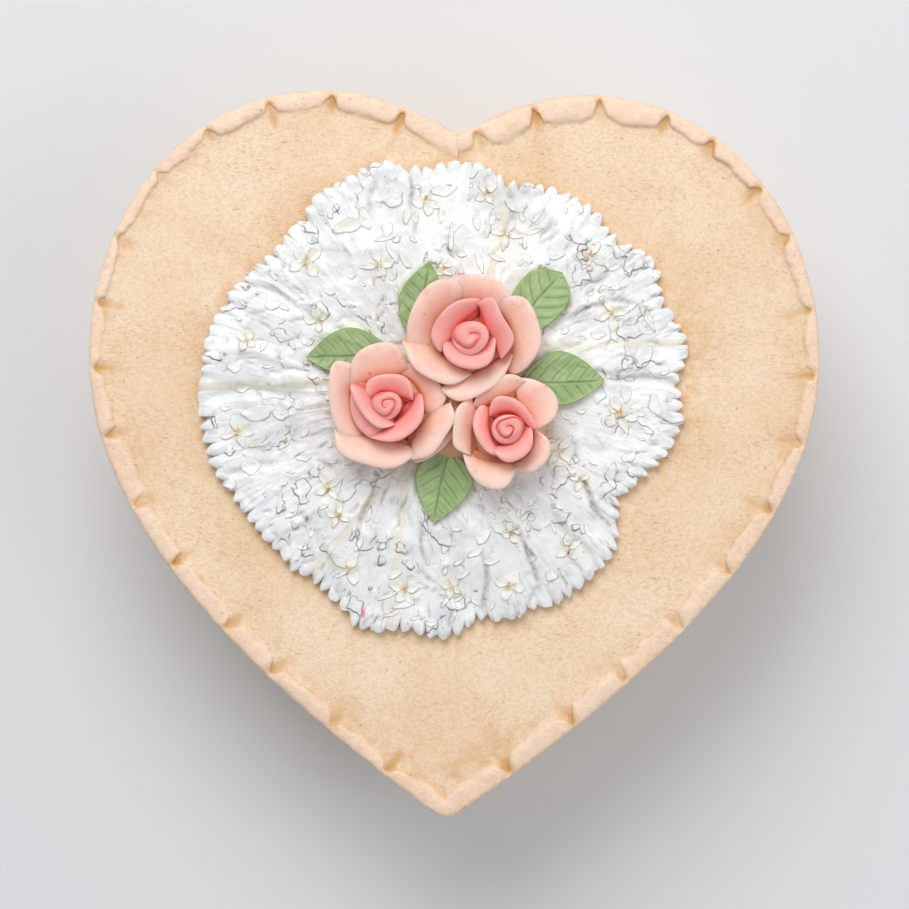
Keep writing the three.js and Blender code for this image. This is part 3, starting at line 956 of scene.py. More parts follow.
# The hem's notches from the cleft to the tip, each with the width of the pad before it
LEFT_HEM = (
    (0.051, 3.4), (0.1175, 3.5), (0.175, 3.3), (0.236, 2.9), (0.295, 2.4), (0.3625, 2.1), (0.4225, 2.2),
    (0.4825, 2.3), (0.544, 3.0), (0.610, 3.5), (0.6725, 3.3), (0.745, 3.1), (0.80, 3.3), (0.87, 3.0),
    (0.9325, 2.5), (1.0, 3.1),
)
RIGHT_HEM = (
    (0.014, 3.0), (0.069, 4.2), (0.13, 4.1), (0.1925, 3.9), (0.24, 3.0), (0.301, 2.7), (0.35, 2.7),
    (0.419, 2.8), (0.4775, 2.5), (0.54, 2.5), (0.605, 2.8), (0.671, 3.2), (0.734, 3.4), (0.801, 3.5),
    (0.861, 3.6), (0.931, 3.6), (1.0, 3.4),
)


@dataclass(frozen=True)
class LidPlate:
    """The lid's plate, with the pleated hem round its face."""

    lace: LaceSurface
    stations: int = 600
    side_length: float = 180.0
    hem_height: float = 0.6
    notch_inset: float = 0.95
    notch_height: float = 0.12
    notch_half: float = 1.25
    edge_round: float = 1.4

    def notches(self, share: Points, side: int) -> tuple[Points, Points, Points]:
        """Reads the hem's table along one side.

        Args:
            share: From 0 at the cleft to 1 at the tip.
            side: 1 for the right side, -1 for the left.

        Returns:
            The pad's number at each share, its full width, and the distance to the nearest notch.
        """
        table = np.array(RIGHT_HEM if side > 0 else LEFT_HEM)
        share = np.asarray(share, float)
        pad = np.clip(np.searchsorted(table[:, 0], share), 0, len(table) - 1)
        away = np.min(np.abs(share[..., None] - table[:-1, 0]), axis=-1) * self.side_length
        return pad, table[pad, 1], away

    def fullness(self, share: Points, side: int) -> Points:
        """How full the hem is: 0 in a notch, 1 along a pad.

        Args:
            share: From 0 at the cleft to 1 at the tip.
            side: 1 for the right side, -1 for the left.

        Returns:
            One value for each share.
        """
        _, _, away = self.notches(share, side)
        ragged = Noise(62 + side).layered(share * 210 + 5, share * 0 + 2.2, 2)
        return np.clip(away / (self.notch_half * (1 + 0.5 * ragged)), 0, 1) ** 0.85

    def width(self, share: Points, side: int) -> Points:
        """The hem's width along one side.

        Args:
            share: From 0 at the cleft to 1 at the tip.
            side: 1 for the right side, -1 for the left.

        Returns:
            Millimetres for each share.
        """
        _, full, away = self.notches(share, side)
        ragged = 0.3 * Noise(60 + side).layered(share * 44 + 7, share * 0 + 3.3, 3)
        full = full * (1.06 - 0.3 * np.exp(-away / 1.9)) + ragged
        return self.notch_inset + (full - self.notch_inset) * self.fullness(share, side)

    def outer(self, share: Points, side: int) -> Points:
        """How far the hem's outer side draws in, at its small scallops.

        Args:
            share: From 0 at the cleft to 1 at the tip.
            side: 1 for the right side, -1 for the left.

        Returns:
            Millimetres for each share.
        """
        small = 0.5 - 0.5 * np.cos(2 * math.pi * share * (92 if side > 0 else 41))
        rough = 0.5 + 0.5 * Noise(70 + side).layered(share * 60 + 5, share * 0 + 1.7, 2)
        drawn = 0.12 * (1 - self.fullness(share, side)) + 0.11 * small + 0.12 * rough
        return drawn * smooth_step(0, 0.01, share) * smooth_step(1, 0.985, share)

    def height(self, share: Points, side: int) -> Points:
        """The hem's height over the face along one side.

        Args:
            share: From 0 at the cleft to 1 at the tip.
            side: 1 for the right side, -1 for the left.

        Returns:
            Millimetres for each share.
        """
        pad, _, _ = self.notches(share, side)
        full = self.hem_height * (1 + 0.18 * np.sin(2.7 * pad + side))
        return self.notch_height + (full - self.notch_height) * self.fullness(share, side)

    def hem_rings(self) -> list[Ring]:
        """Rings over the hem, from its outer foot to its inner one."""
        profile = (
            (0.0, -0.9), (0.03, -0.3), (0.08, 0.25), (0.16, 0.6), (0.28, 0.82), (0.42, 0.94), (0.56, 1.0),
            (0.68, 1.0), (0.78, 0.94), (0.86, 0.82), (0.93, 0.62), (0.985, 0.36), (1.03, 0.12), (1.12, 0.0),
        )
        rings = []
        for across, up in profile:
            inset = lambda s, side, q=across: self.outer(s, side) * (1 - min(q, 1)) + q * self.width(s, side)
            z = lambda s, side, u=up: FACE + (u * self.height(s, side) if u > 0 else u + 0 * s)
            rings.append(Ring(inset, z))
        return rings

    def build(self, finish: bpy.types.Material) -> bpy.types.Object:
        """Models the plate from its underside, round the edge and the hem, to its face.

        Args:
            finish: The resin.

        Returns:
            The plate.
        """
        rings = [Ring(self.edge_round, BOX_TOP, reach) for reach in (0, 0.4, 0.8, 1)]
        rings += [Ring(self.edge_round * 0.3, BOX_TOP + self.edge_round * 0.3)]
        rings += [Ring(0.0, BOX_TOP + self.edge_round), Ring(0.0, BOX_TOP + 3), Ring(0.0, FACE - 1.8)]
        rings += self.hem_rings()
        rings += [Ring(inset, FACE) for inset in (4.3, 4.9, 5.6, 6.5, 7.7)]
        reaches = [*np.linspace(1, 0.45, 13)[1:], 0.3, 0.12, 0]
        rings += [Ring(7.7, FACE, float(reach)) for reach in reaches]
        shares = np.linspace(0, 1, self.stations + 1)
        left, right = (
            [f(shares, side) for f in (self.fullness, self.width)] for side in (-1, 1)
        )
        around = [np.concatenate([a, b[::-1][1:]]) for a, b in zip(left, right)]
        piece = heart_skin("lid_plate", rings, shares, {"notch": 1 - around[0], "hem_edge": around[1]})
        self.roughen(piece)
        return Bench.hand_in(piece, "lid", Slot.RESIN, finish, 50)

    def roughen(self, piece: bpy.types.Object) -> None:
        """Gives the plate a hand-made unevenness, its stains and some painted shade.

        Args:
            piece: The plate, with its notches stored.
        """
        points = Bench.places(piece)
        x, y, z = points.T
        hem = LID_OUTLINE.distance(points[:, :2])
        top = smooth_step(FACE - 1.2, FACE - 0.2, z)
        on_hem = np.clip((z - FACE) / 0.25, 0, 1)
        fine, broad = Noise(3), Noise(4)
        dents = fine.layered(x / 2.0 + 50, y / 2.0 + 50, 3) * 0.17 * on_hem
        waves = broad.layered(x / 11 + 50, y / 11 + 50, 2) * 0.10
        shift = top * (dents + waves * (1 - on_hem)) - 0.05 * top
        side = smooth_step(BOX_TOP + 1, BOX_TOP + 3, z) * (1 - smooth_step(FACE - 1, FACE + 0.5, z))
        toward = points[:, :2] - HEART_MIDDLE
        toward /= np.maximum(np.linalg.norm(toward, axis=1, keepdims=True), 1e-6)
        push = side * (0.1 + 0.12 * fine.layered(x / 4 + 9, y / 4 + z / 4 + 9, 2))
        torn = smooth_step(0.9, 2.0, hem) * smooth_step(6.0, 4.4, hem) * top
        push = push + 0.42 * torn * fine.layered(x / 1.7 + 5, y / 1.7 + 5, 3)
        points[:, :2] -= toward * push[:, None]
        points[:, 2] = z + shift
        Bench.place(piece, points)
        ragged = fine.layered(x / 3.1 + 20, y / 3.1 + 70, 3)
        on_face = (z > FACE - 1.5).astype(float)
        pinched, hem_edge = Bench.painted(piece, "notch"), Bench.painted(piece, "hem_edge")
        inside = smooth_step(0.7, 1.3, hem) * smooth_step(4.4 + ragged, 2.6 + ragged, hem)
        seam = np.exp(-(((hem - hem_edge) / 0.22) ** 2)) * (0.18 + 0.6 * ragged)
        notch = np.clip(1.15 * pinched**1.2 * inside + np.clip(seam, 0, 1), 0, 1) * on_face
        by_hem = smooth_step(9.0 + 4.5 * ragged, 2.4, hem) * (1 - on_hem)
        stain_and_shade = 0.42 * by_hem * (0.65 + 0.6 * broad.layered(x / 9 + 3, y / 9 + 31, 2))
        near_notch = pinched * smooth_step(7.5, 3.0, hem) * (1 - 0.6 * on_hem)
        stain_and_shade = stain_and_shade + 1.1 * near_notch * (0.55 + 0.9 * ragged)
        tip = np.exp(-(((y + 52) / 9) ** 2)) * (1 - 0.7 * on_hem)
        # A patch of painted shade on the right lobe, added to the stains
        shaded = np.exp(-(((x - 37) / 7) ** 2) - (((y - 13) / 16) ** 2))
        beyond = np.clip(self.lace.beyond(x, y), 0, None)
        by_lace = np.exp(-beyond / (2.4 + 1.2 * ragged)) * (1 - on_hem)
        stain_and_shade = stain_and_shade + 0.5 * tip + (0.6 + 0.4 * shaded) * by_lace + 0.3 * shaded
        pits = on_hem * np.clip(-fine.layered(x / 1.3 + 5, y / 1.3 + 5, 2) - 0.3, 0, 1)
        # Off the face, the lid's side darkens towards its lower edge
        stain_and_shade = np.where(on_face > 0, stain_and_shade + 0.4 * pits, 0.12 + 0.25 * smooth_step(BOX_TOP + 2, BOX_TOP, z))
        piece.data.attributes["notch"].data.foreach_set("value", notch.astype(np.float32))
        piece.data.attributes.remove(piece.data.attributes["hem_edge"])
        Bench.paint(piece, "stain_and_shade", np.clip(stain_and_shade, 0, 1))
        Bench.paint(piece, "blush", 0.85 * np.clip(on_hem + side, 0, 1))


Oval = tuple[float, float, float, float, float]


class MotifKind(Enum):
    """The raised motifs of the lace."""

    FLOWER = "flower"
    EYELET = "eyelet"


@dataclass(frozen=True)
class Motif:
    """One raised motif on the lace.

    Attributes:
        x: Place to the right.
        y: Place towards the cleft.
        length: An eyelet's length, or a flower's reach.
        width: An eyelet's width, or a petal's.
        turns: Directions in degrees, one for each lobe.
        kind: Flower or eyelet.
    """

    x: float
    y: float
    length: float
    width: float
    turns: tuple[float, ...]
    kind: MotifKind = MotifKind.EYELET

    def lobes(self) -> list[Oval]:
        """The motif's lobes, as middle x and y, half length, half width and turn."""
        if self.kind is MotifKind.EYELET:
            return [(self.x, self.y, self.length / 2, self.width / 2, math.radians(self.turns[0]))]
        lobes = []
        for number, turn in enumerate(self.turns):
            angle = math.radians(turn)
            reach = self.length * (0.56 + 0.06 * math.sin(3.7 * self.y + 2.9 * number))
            lobes.append((
                self.x + reach * math.cos(angle), self.y + reach * math.sin(angle),
                self.length * 0.5, self.width * (0.66 + 0.1 * math.sin(5.3 * self.x + 2 * number)), angle,
            ))
        return lobes


# The flowers that stand out: x, y, reach, petal width, the petals' directions
FLOWERS = (
    (-23.3, 29.6, 2.7, 1.3, (45, 140, 200, -50)), (-11.8, 29.4, 2.4, 1.0, (115, 10, 190, -75)),
    (-4.9, 39.4, 2.2, 1.1, (100, 190, -70, -25)), (4.5, 40.9, 1.9, 0.9, (40, 120, 220, -60)),
    (7.8, 34.6, 2.6, 1.0, (170, 60, -5, -100)), (21.0, 31.4, 2.5, 1.1, (60, -30, 190, -120)),
    (24.4, 22.4, 2.6, 1.1, (110, 10, -80, 200)), (26.0, 6.8, 2.9, 1.2, (115, -10, -140, -70)),
    (16.6, 0.9, 2.5, 1.1, (50, 140, 235, -40)), (20.0, -3.8, 1.8, 0.8, (40, 150, -110)),
    (18.4, -14.4, 2.0, 0.9, (35, 125, 215, -55)), (9.3, -20.3, 2.3, 1.4, (160, 65, -10, -110)),
    (9.4, -12.0, 1.7, 0.9, (20, 110, 200, -70)), (-7.1, -21.3, 2.3, 1.1, (160, 20, -60, -120)),
    (-16.0, -18.1, 2.6, 1.1, (145, 210, -60, 60)), (-19.4, -5.4, 2.1, 0.9, (30, 120, 215, -50)),
    (-17.8, -9.8, 1.9, 0.9, (75, 165, -20, -110)), (-33.7, 2.9, 2.5, 1.0, (110, 200, 0, -60)),
    (-32.5, 17.2, 1.6, 0.9, (55, 150, 240, -30)), (-21.4, 20.6, 1.9, 1.0, (30, 110, 190, -80)),
    (-1.9, 29.0, 1.5, 0.8, (45, 135, -45, 225)), (0.3, -20.7, 1.7, 0.9, (70, 170, -30, -110)),
)

# The eyelets and leaf shapes that stand out: x, y, length, width, turn
EYELETS = (
    (-17.0, 35.3, 4.4, 2.3, 18), (-14.3, 36.5, 3.6, 2.0, -60), (-22.6, 33.1, 1.9, 1.2, -25),
    (-10.0, 39.8, 3.5, 2.8, 12), (-2.0, 41.2, 4.2, 1.8, 18), (-7.8, 37.1, 2.5, 1.2, 90),
    (-6.4, 36.9, 2.2, 0.9, 95), (-2.4, 37.2, 2.4, 1.0, 85), (-0.8, 33.8, 4.2, 0.9, 88),
    (0.9, 31.3, 1.7, 1.0, 0), (3.2, 36.5, 2.8, 1.3, 90), (5.6, 37.0, 2.4, 1.1, 80),
    (9.2, 39.2, 4.0, 2.2, -25), (10.2, 37.3, 1.8, 1.0, -60), (12.6, 37.4, 2.8, 0.7, 48),
    (12.0, 35.0, 2.7, 0.8, 15), (10.7, 33.5, 2.5, 0.8, 85), (-10.8, 35.0, 2.5, 1.7, 80),
    (-11.3, 33.5, 2.9, 0.9, 8), (-9.9, 31.2, 3.8, 1.0, -56), (-8.0, 30.2, 3.6, 1.0, -60),
    (3.7, 30.2, 3.6, 1.1, -78), (6.2, 30.9, 2.8, 0.9, -30), (15.7, 31.2, 2.8, 0.8, 20),
    (18.9, 34.1, 3.3, 1.5, -25), (24.3, 30.0, 3.0, 1.6, -5), (27.1, 29.4, 2.2, 0.8, 50),
    (27.5, 21.2, 1.9, 1.2, 10), (27.3, 23.5, 2.6, 0.9, 22), (30.0, 22.0, 4.4, 1.3, -62),
    (29.6, 15.9, 4.4, 2.3, 68), (34.3, 15.6, 4.6, 3.0, 55), (26.9, 9.9, 2.8, 1.6, 88),
    (22.3, 19.1, 2.2, 1.5, -8), (24.9, 18.8, 1.9, 1.0, -50), (31.5, 8.2, 3.6, 1.9, -62),
    (34.2, 6.2, 3.8, 1.2, -4), (29.0, 6.9, 2.4, 0.9, -4), (27.6, 0.3, 3.0, 1.6, 50),
    (32.1, -0.2, 2.4, 1.9, 90), (24.8, -3.8, 3.0, 0.9, -50), (25.6, -6.4, 3.4, 0.9, -12),
    (21.4, -11.6, 2.8, 0.9, -58), (15.9, -18.4, 2.7, 1.6, 72), (5.0, -12.7, 3.3, 1.6, 52),
    (3.9, -15.2, 2.9, 1.0, 35), (6.3, -16.6, 2.7, 0.9, 15), (1.2, -16.8, 2.0, 0.8, 30),
    (1.9, -18.8, 2.7, 0.8, 30), (-0.9, -14.6, 1.7, 1.2, 80), (0.6, -25.1, 2.5, 0.6, 65),
    (-0.7, -22.9, 2.3, 0.7, 60), (1.4, -22.4, 1.7, 0.7, 30), (-8.6, -18.9, 2.6, 0.8, 32),
    (-4.8, -20.5, 2.3, 0.9, -6), (-9.8, -22.2, 3.3, 0.8, 22), (-7.2, -23.6, 3.5, 1.0, 18),
    (-9.1, -25.0, 2.6, 0.7, 20), (-5.1, -25.6, 2.1, 0.6, 10), (-3.0, -26.5, 1.9, 0.8, 0),
    (-25.2, -9.0, 3.0, 2.3, 65), (-31.5, -2.5, 3.3, 2.2, 18), (-34.6, -5.2, 1.9, 1.7, 90),
    (-30.3, 1.2, 3.3, 1.3, 12), (-26.3, 1.2, 2.3, 1.1, 45), (-23.2, 3.2, 2.1, 1.3, 62),
    (-23.2, -0.9, 2.3, 1.2, 8), (-30.4, 6.0, 5.4, 2.5, 8), (-27.0, 6.0, 3.0, 2.0, -34),
    (-34.3, 13.0, 2.3, 1.6, 0), (-28.5, 23.1, 2.6, 2.0, 12), (-26.8, 22.7, 1.8, 1.1, -48),
    (-19.8, 25.2, 2.4, 1.0, -32), (-36.7, 23.3, 2.4, 1.1, -8), (-33.0, 9.6, 2.2, 0.8, 20),
    (-14.3, -14.2, 2.6, 0.8, 60), (-12.9, -9.6, 2.6, 0.7, 72), (13.6, 29.0, 1.8, 0.8, 30),
)

# Sharp creases of the gathers: from x, y to x, y, width, depth
CREASES = (
    (-32.4, 26.4, -22.4, 22.1, 0.35, 0.35), (-31.5, 26.9, -21.9, 22.9, 0.3, -0.3),
    (-18.0, 32.9, -14.4, 26.8, 0.6, -0.35), (-7.3, 43.4, -7.2, 38.2, 0.35, 0.4),
    (-7.1, 38.0, -6.2, 34.2, 0.3, 0.3), (19.8, 26.2, 24.6, 29.3, 0.5, 0.5),
    (18.0, 21.8, 24.0, 24.6, 0.45, 0.5), (24.0, 24.6, 28.2, 24.0, 0.4, 0.35),
    (13.0, 33.4, 15.0, 37.0, 0.4, 0.3), (5.2, -15.5, 5.4, -24.5, 0.35, 0.4),
    (6.2, -17.0, 6.1, -24.5, 0.3, -0.3), (-12.2, -4.0, -14.6, -13.6, 0.4, 0.4),
    (-10.6, -6.0, -13.2, -22.0, 0.5, -0.4), (-5.0, -11.0, -4.0, -17.5, 0.35, 0.35),
    (-4.6, -18.3, -2.2, -20.4, 0.3, 0.35), (10.3, -11.0, 12.2, -16.6, 0.35, 0.4),
    (12.2, -16.6, 14.0, -20.0, 0.35, 0.4), (14.0, -20.0, 12.0, -23.4, 0.35, 0.35),
    (20.0, -4.0, 24.8, -11.4, 0.4, 0.5), (20.8, -3.4, 25.6, -10.8, 0.35, -0.35),
    (22.5, 13.4, 36.5, 11.0, 0.6, 1.0), (-24.0, 9.6, -39.0, 8.6, 1.1, 0.9),
    (-24.0, 14.0, -37.5, 16.2, 0.8, -0.5), (-14.0, 36.5, -12.5, 44.0, 0.5, 0.35),
    (8.6, 35.2, 8.3, 42.4, 0.45, 0.4), (-28.0, -2.0, -36.5, -3.4, 0.6, 0.5),
    (-21.0, -12.0, -17.0, -22.5, 0.7, 0.5), (-22.0, 11.6, -28.5, 11.2, 1.3, -0.6),
    (-20.5, -9.3, -26.5, -13.5, 0.5, 0.4), (16.0, -9.0, 23.0, -17.0, 0.6, 0.45),
)


# The ruffle's edge, as a scratch script measured it on the photo: distance from its middle
# at every 5 degrees, anticlockwise from +X
LACE_EDGE = (
    37.2, 36.7, 38.7, 38.7, 38.0, 37.6, 38.6, 38.6, 37.4, 36.7, 37.4, 37.2,
    37.0, 36.2, 35.1, 35.1, 35.7, 36.5, 36.1, 35.3, 35.8, 37.4, 37.2, 37.0,
    36.7, 36.5, 35.2, 34.7, 34.7, 35.1, 36.0, 36.8, 37.1, 37.8, 37.5, 37.3,
    37.9, 38.1, 38.1, 37.7, 37.7, 36.8, 35.8, 35.6, 35.4, 35.1, 35.9, 34.9,
    35.5, 36.2, 38.5, 38.9, 37.4, 37.5, 38.1, 37.2, 35.3, 36.2, 36.6, 36.2,
    36.9, 37.0, 36.7, 36.5, 35.9, 33.4, 32.2, 32.8, 34.3, 35.7, 36.8, 37.7,
)


@dataclass(frozen=True)
class LaceSurface:
    """The ruffle's form: its ragged edge, its folds and its creases.

    Attributes:
        centre_x: The ruffle's middle, to the right.
        centre_y: The ruffle's middle, towards the cleft.
        teeth: Points of the pinked edge.
        tooth_depth: From a tooth's point to its root.
        thickness: Over the lid's face.
        gather_rise: How far it climbs towards the roses.
        crinkles: Short creases scattered over it.
        mean_radius: From its middle to its edge, on the whole.
    """

    centre_x: float = -1.7
    centre_y: float = 9.3
    teeth: int = 112
    tooth_depth: float = 0.85
    thickness: float = 1.5
    gather_rise: float = 1.7
    crinkles: int = 330
    mean_radius: float = 37.0

    @cached_property
    def edge_table(self) -> tuple[Points, Points, Points]:
        """Angles over one turn, the ragged edge's radius and the teeth's relief at each."""
        angle = np.linspace(0, 2 * math.pi, self.teeth * 16 + 1)
        smooth = np.interp(np.degrees(angle), np.arange(0, 360, 5), np.array(LACE_EDGE), period=360)
        rng = np.random.default_rng(21)
        shift = rng.uniform(-0.3, 0.3, self.teeth)
        depth = self.tooth_depth * rng.uniform(0.2, 1.8, self.teeth)
        lift = np.convolve(np.tile(rng.uniform(-0.4, 0.4, self.teeth), 3), (0.25, 0.5, 0.25), "same")
        lift = lift[self.teeth : 2 * self.teeth]
        bluntness = rng.uniform(1.2, 3.6, self.teeth)
        run = angle / (2 * math.pi) * self.teeth
        tooth = np.floor(run).astype(int) % self.teeth
        phase = np.clip(run % 1 + shift[tooth] * np.sin(math.pi * (run % 1)), 0, 1)
        notch = np.abs(2 * phase - 1) ** bluntness[tooth]
        eased = np.interp(run, np.arange(self.teeth + 1) + 0.5, np.append(lift, lift[0]), period=self.teeth)
        ragged = smooth + 0.42 * self.tooth_depth - depth[tooth] * notch + eased
        ragged[-1] = ragged[0]
        return angle, ragged, 1 - 2 * notch

    def edge_radius(self, angle: Points) -> Points:
        """Radius of the ragged edge at angles in radians."""
        table, radius, _ = self.edge_table
        return np.interp(np.mod(angle, 2 * math.pi), table, radius)

    def polar(self, x: Points, y: Points) -> tuple[Points, Points]:
        """Angle about the ruffle's middle, and distance from it."""
        dx, dy = x - self.centre_x, y - self.centre_y
        return np.arctan2(dy, dx), np.hypot(dx, dy)

    def beyond(self, x: Points, y: Points) -> Points:
        """Distance outside the ruffle's edge, negative inside it."""
        angle, radius = self.polar(x, y)
        return radius - self.edge_radius(angle)

    def gathers(self, x: Points, y: Points) -> Points:
        """Height of the radial gathers, from about -1 to 1.

        Args:
            x: Places to the right.
            y: Places towards the cleft.

        Returns:
            One height for each place.
        """
        angle, radius = self.polar(x, y)
        reach = radius / self.mean_radius
        turn = np.mod(angle, 2 * math.pi) / (2 * math.pi)
        total = np.zeros(np.shape(x))
        for seed, cycles, along, amount in ((31, 16, 1.6, 0.55), (32, 32, 2.4, 0.42), (33, 64, 3.4, 0.2)):
            noise = Noise(seed, cycles)
            drift = 0.35 * np.sin(5 * reach + seed)
            value = noise.at(turn * cycles + drift, reach * along + seed)
            ridge = 1 - 2 * np.abs(value) ** 0.8
            fade = np.clip(reach * (3.6 if cycles > 20 else 5), 0, 1)
            total = total + amount * ridge * fade
        return total

    @cached_property
    def strokes(self) -> list[tuple[float, float, float, float, float, float]]:
        """The named creases, and short ones scattered along the gathers."""
        rng = np.random.default_rng(64)
        strokes = list(CREASES)
        for _ in range(self.crinkles):
            angle, radius = rng.uniform(0, 2 * math.pi), 13 + 23 * rng.uniform() ** 0.75
            x, y = self.centre_x + radius * math.cos(angle), self.centre_y + radius * math.sin(angle)
            way, length = angle + rng.normal(0, 0.7), rng.uniform(0.7, 3.2)
            dx, dy = length * math.cos(way), length * math.sin(way)
            depth = rng.uniform(0.1, 0.38) * rng.choice((1, 1, -1))
            strokes.append((x, y, x + dx, y + dy, rng.uniform(0.16, 0.3), depth))
        return strokes

    def lines(self, x: Points, y: Points) -> tuple[Points, Points]:
        """Sharp creases.

        Args:
            x: Places to the right.
            y: Places towards the cleft.

        Returns:
            The height that they add, and how deep each place lies in a crease.
        """
        shape = np.shape(x)
        x, y = np.ravel(x), np.ravel(y)
        height, groove = np.zeros(len(x)), np.zeros(len(x))
        for x0, y0, x1, y1, width, depth in self.strokes:
            dx, dy = x1 - x0, y1 - y0
            margin = 3.5 * width + 0.4
            near_x = np.abs(x - (x0 + x1) / 2) < abs(dx) / 2 + margin
            near = np.nonzero(near_x & (np.abs(y - (y0 + y1) / 2) < abs(dy) / 2 + margin))[0]
            px, py = x[near], y[near]
            t = np.clip(((px - x0) * dx + (py - y0) * dy) / (dx * dx + dy * dy), 0, 1)
            bend = 0.35 * np.sin(math.pi * 2 * t + x0)
            across = np.hypot(px - x0 - t * dx + bend * dy / 9, py - y0 - t * dy - bend * dx / 9)
            fold = np.exp(-((across / width) ** 2)) * np.sin(math.pi * np.clip(t * 0.9 + 0.07, 0, 1)) ** 0.5
            height[near] -= depth * fold
            if depth > 0:
                shown = fold * min(1, depth * 1.7) * min(1, 0.42 / width) ** 2
                groove[near] = np.maximum(groove[near], shown)
        return height.reshape(shape), groove.reshape(shape)

    def height(self, x: Points, y: Points) -> Points:
        """The ruffle's upper side in millimetres.

        Args:
            x: Places to the right.
            y: Places towards the cleft.

        Returns:
            One height for each place.
        """
        angle, radius = self.polar(x, y)
        inside = np.clip(1 - radius / self.mean_radius, 0, 1)
        reach = np.clip(radius / self.mean_radius, 0, 1.1)
        amount = 0.66 * np.sin(math.pi * np.clip(1.12 * reach - 0.1, 0, 0.84))
        base = FACE + self.thickness + self.gather_rise * inside**1.4
        crinkle = Noise(41).layered(x / 1.7 + 60, y / 1.7 + 60, 3) * 0.17
        pillow = Noise(42).layered(x / 4.5 + 60, y / 4.5 + 60, 2) * 0.2
        table, edge, relief = self.edge_table
        turn = np.mod(angle, 2 * math.pi)
        within = np.clip(np.interp(turn, table, edge) - radius, 0, None)
        flutes = 0.13 * np.interp(turn, table, relief) * np.exp(-((within / 1.5) ** 1.2))
        return base + amount * self.gathers(x, y) + crinkle + pillow + flutes + self.lines(x, y)[0] * 0.8

    def hollow_shade(self, x: Points, y: Points) -> Points:
        """How far each place lies below the ruffle's mean form, from 0 to 1, as the amount of painted shade.
        """
        low = -self.gathers(x, y) * 0.5 + 0.35 * Noise(42).layered(x / 4.5 + 60, y / 4.5 + 60, 2)
        return np.clip(low * 1.05 + 0.04, 0, 0.85)


LACE = LaceSurface()
SMALL_MOTIF_TRIES = 420
SMALL_MOTIF_REACH = (13, 35)


def all_motifs() -> list[Motif]:
    """The listed motifs, and small ones scattered between them.

    Returns:
        Every motif that lies on the ruffle.
    """
    motifs = [Motif(*row, kind=MotifKind.FLOWER) for row in FLOWERS]
    motifs += [Motif(x, y, length, width, (turn,)) for x, y, length, width, turn in EYELETS]
    inside = lambda m: LACE.beyond(np.array([m.x]), np.array([m.y]))[0] < -0.45 * m.length - 0.2
    motifs = [motif for motif in motifs if inside(motif)]
    rng = np.random.default_rng(77)
    placed = [(m.x, m.y, m.length * 0.6 + 0.3) for m in motifs]
    for _ in range(SMALL_MOTIF_TRIES):
        angle, radius = rng.uniform(0, 2 * math.pi), rng.uniform(*SMALL_MOTIF_REACH)
        x, y = LACE.centre_x + radius * math.cos(angle), LACE.centre_y + radius * math.sin(angle)
        length = rng.uniform(0.8, 2.0)
        width = length * rng.uniform(0.25, 0.55)
        small = Motif(x, y, length, width, (math.degrees(angle) + rng.normal(0, 40),))
        clear = all(math.hypot(x - px, y - py) > reach + length * 0.6 for px, py, reach in placed)
        creased = LACE.lines(np.array([x]), np.array([y]))[1][0] > 0.1
        hidden = any(leaf.gap(x, y) < 0.8 for leaf in LEAVES)
        if clear and inside(small) and not creased and not hidden:
            motifs.append(small)
            placed.append((x, y, length * 0.6))
    return motifs


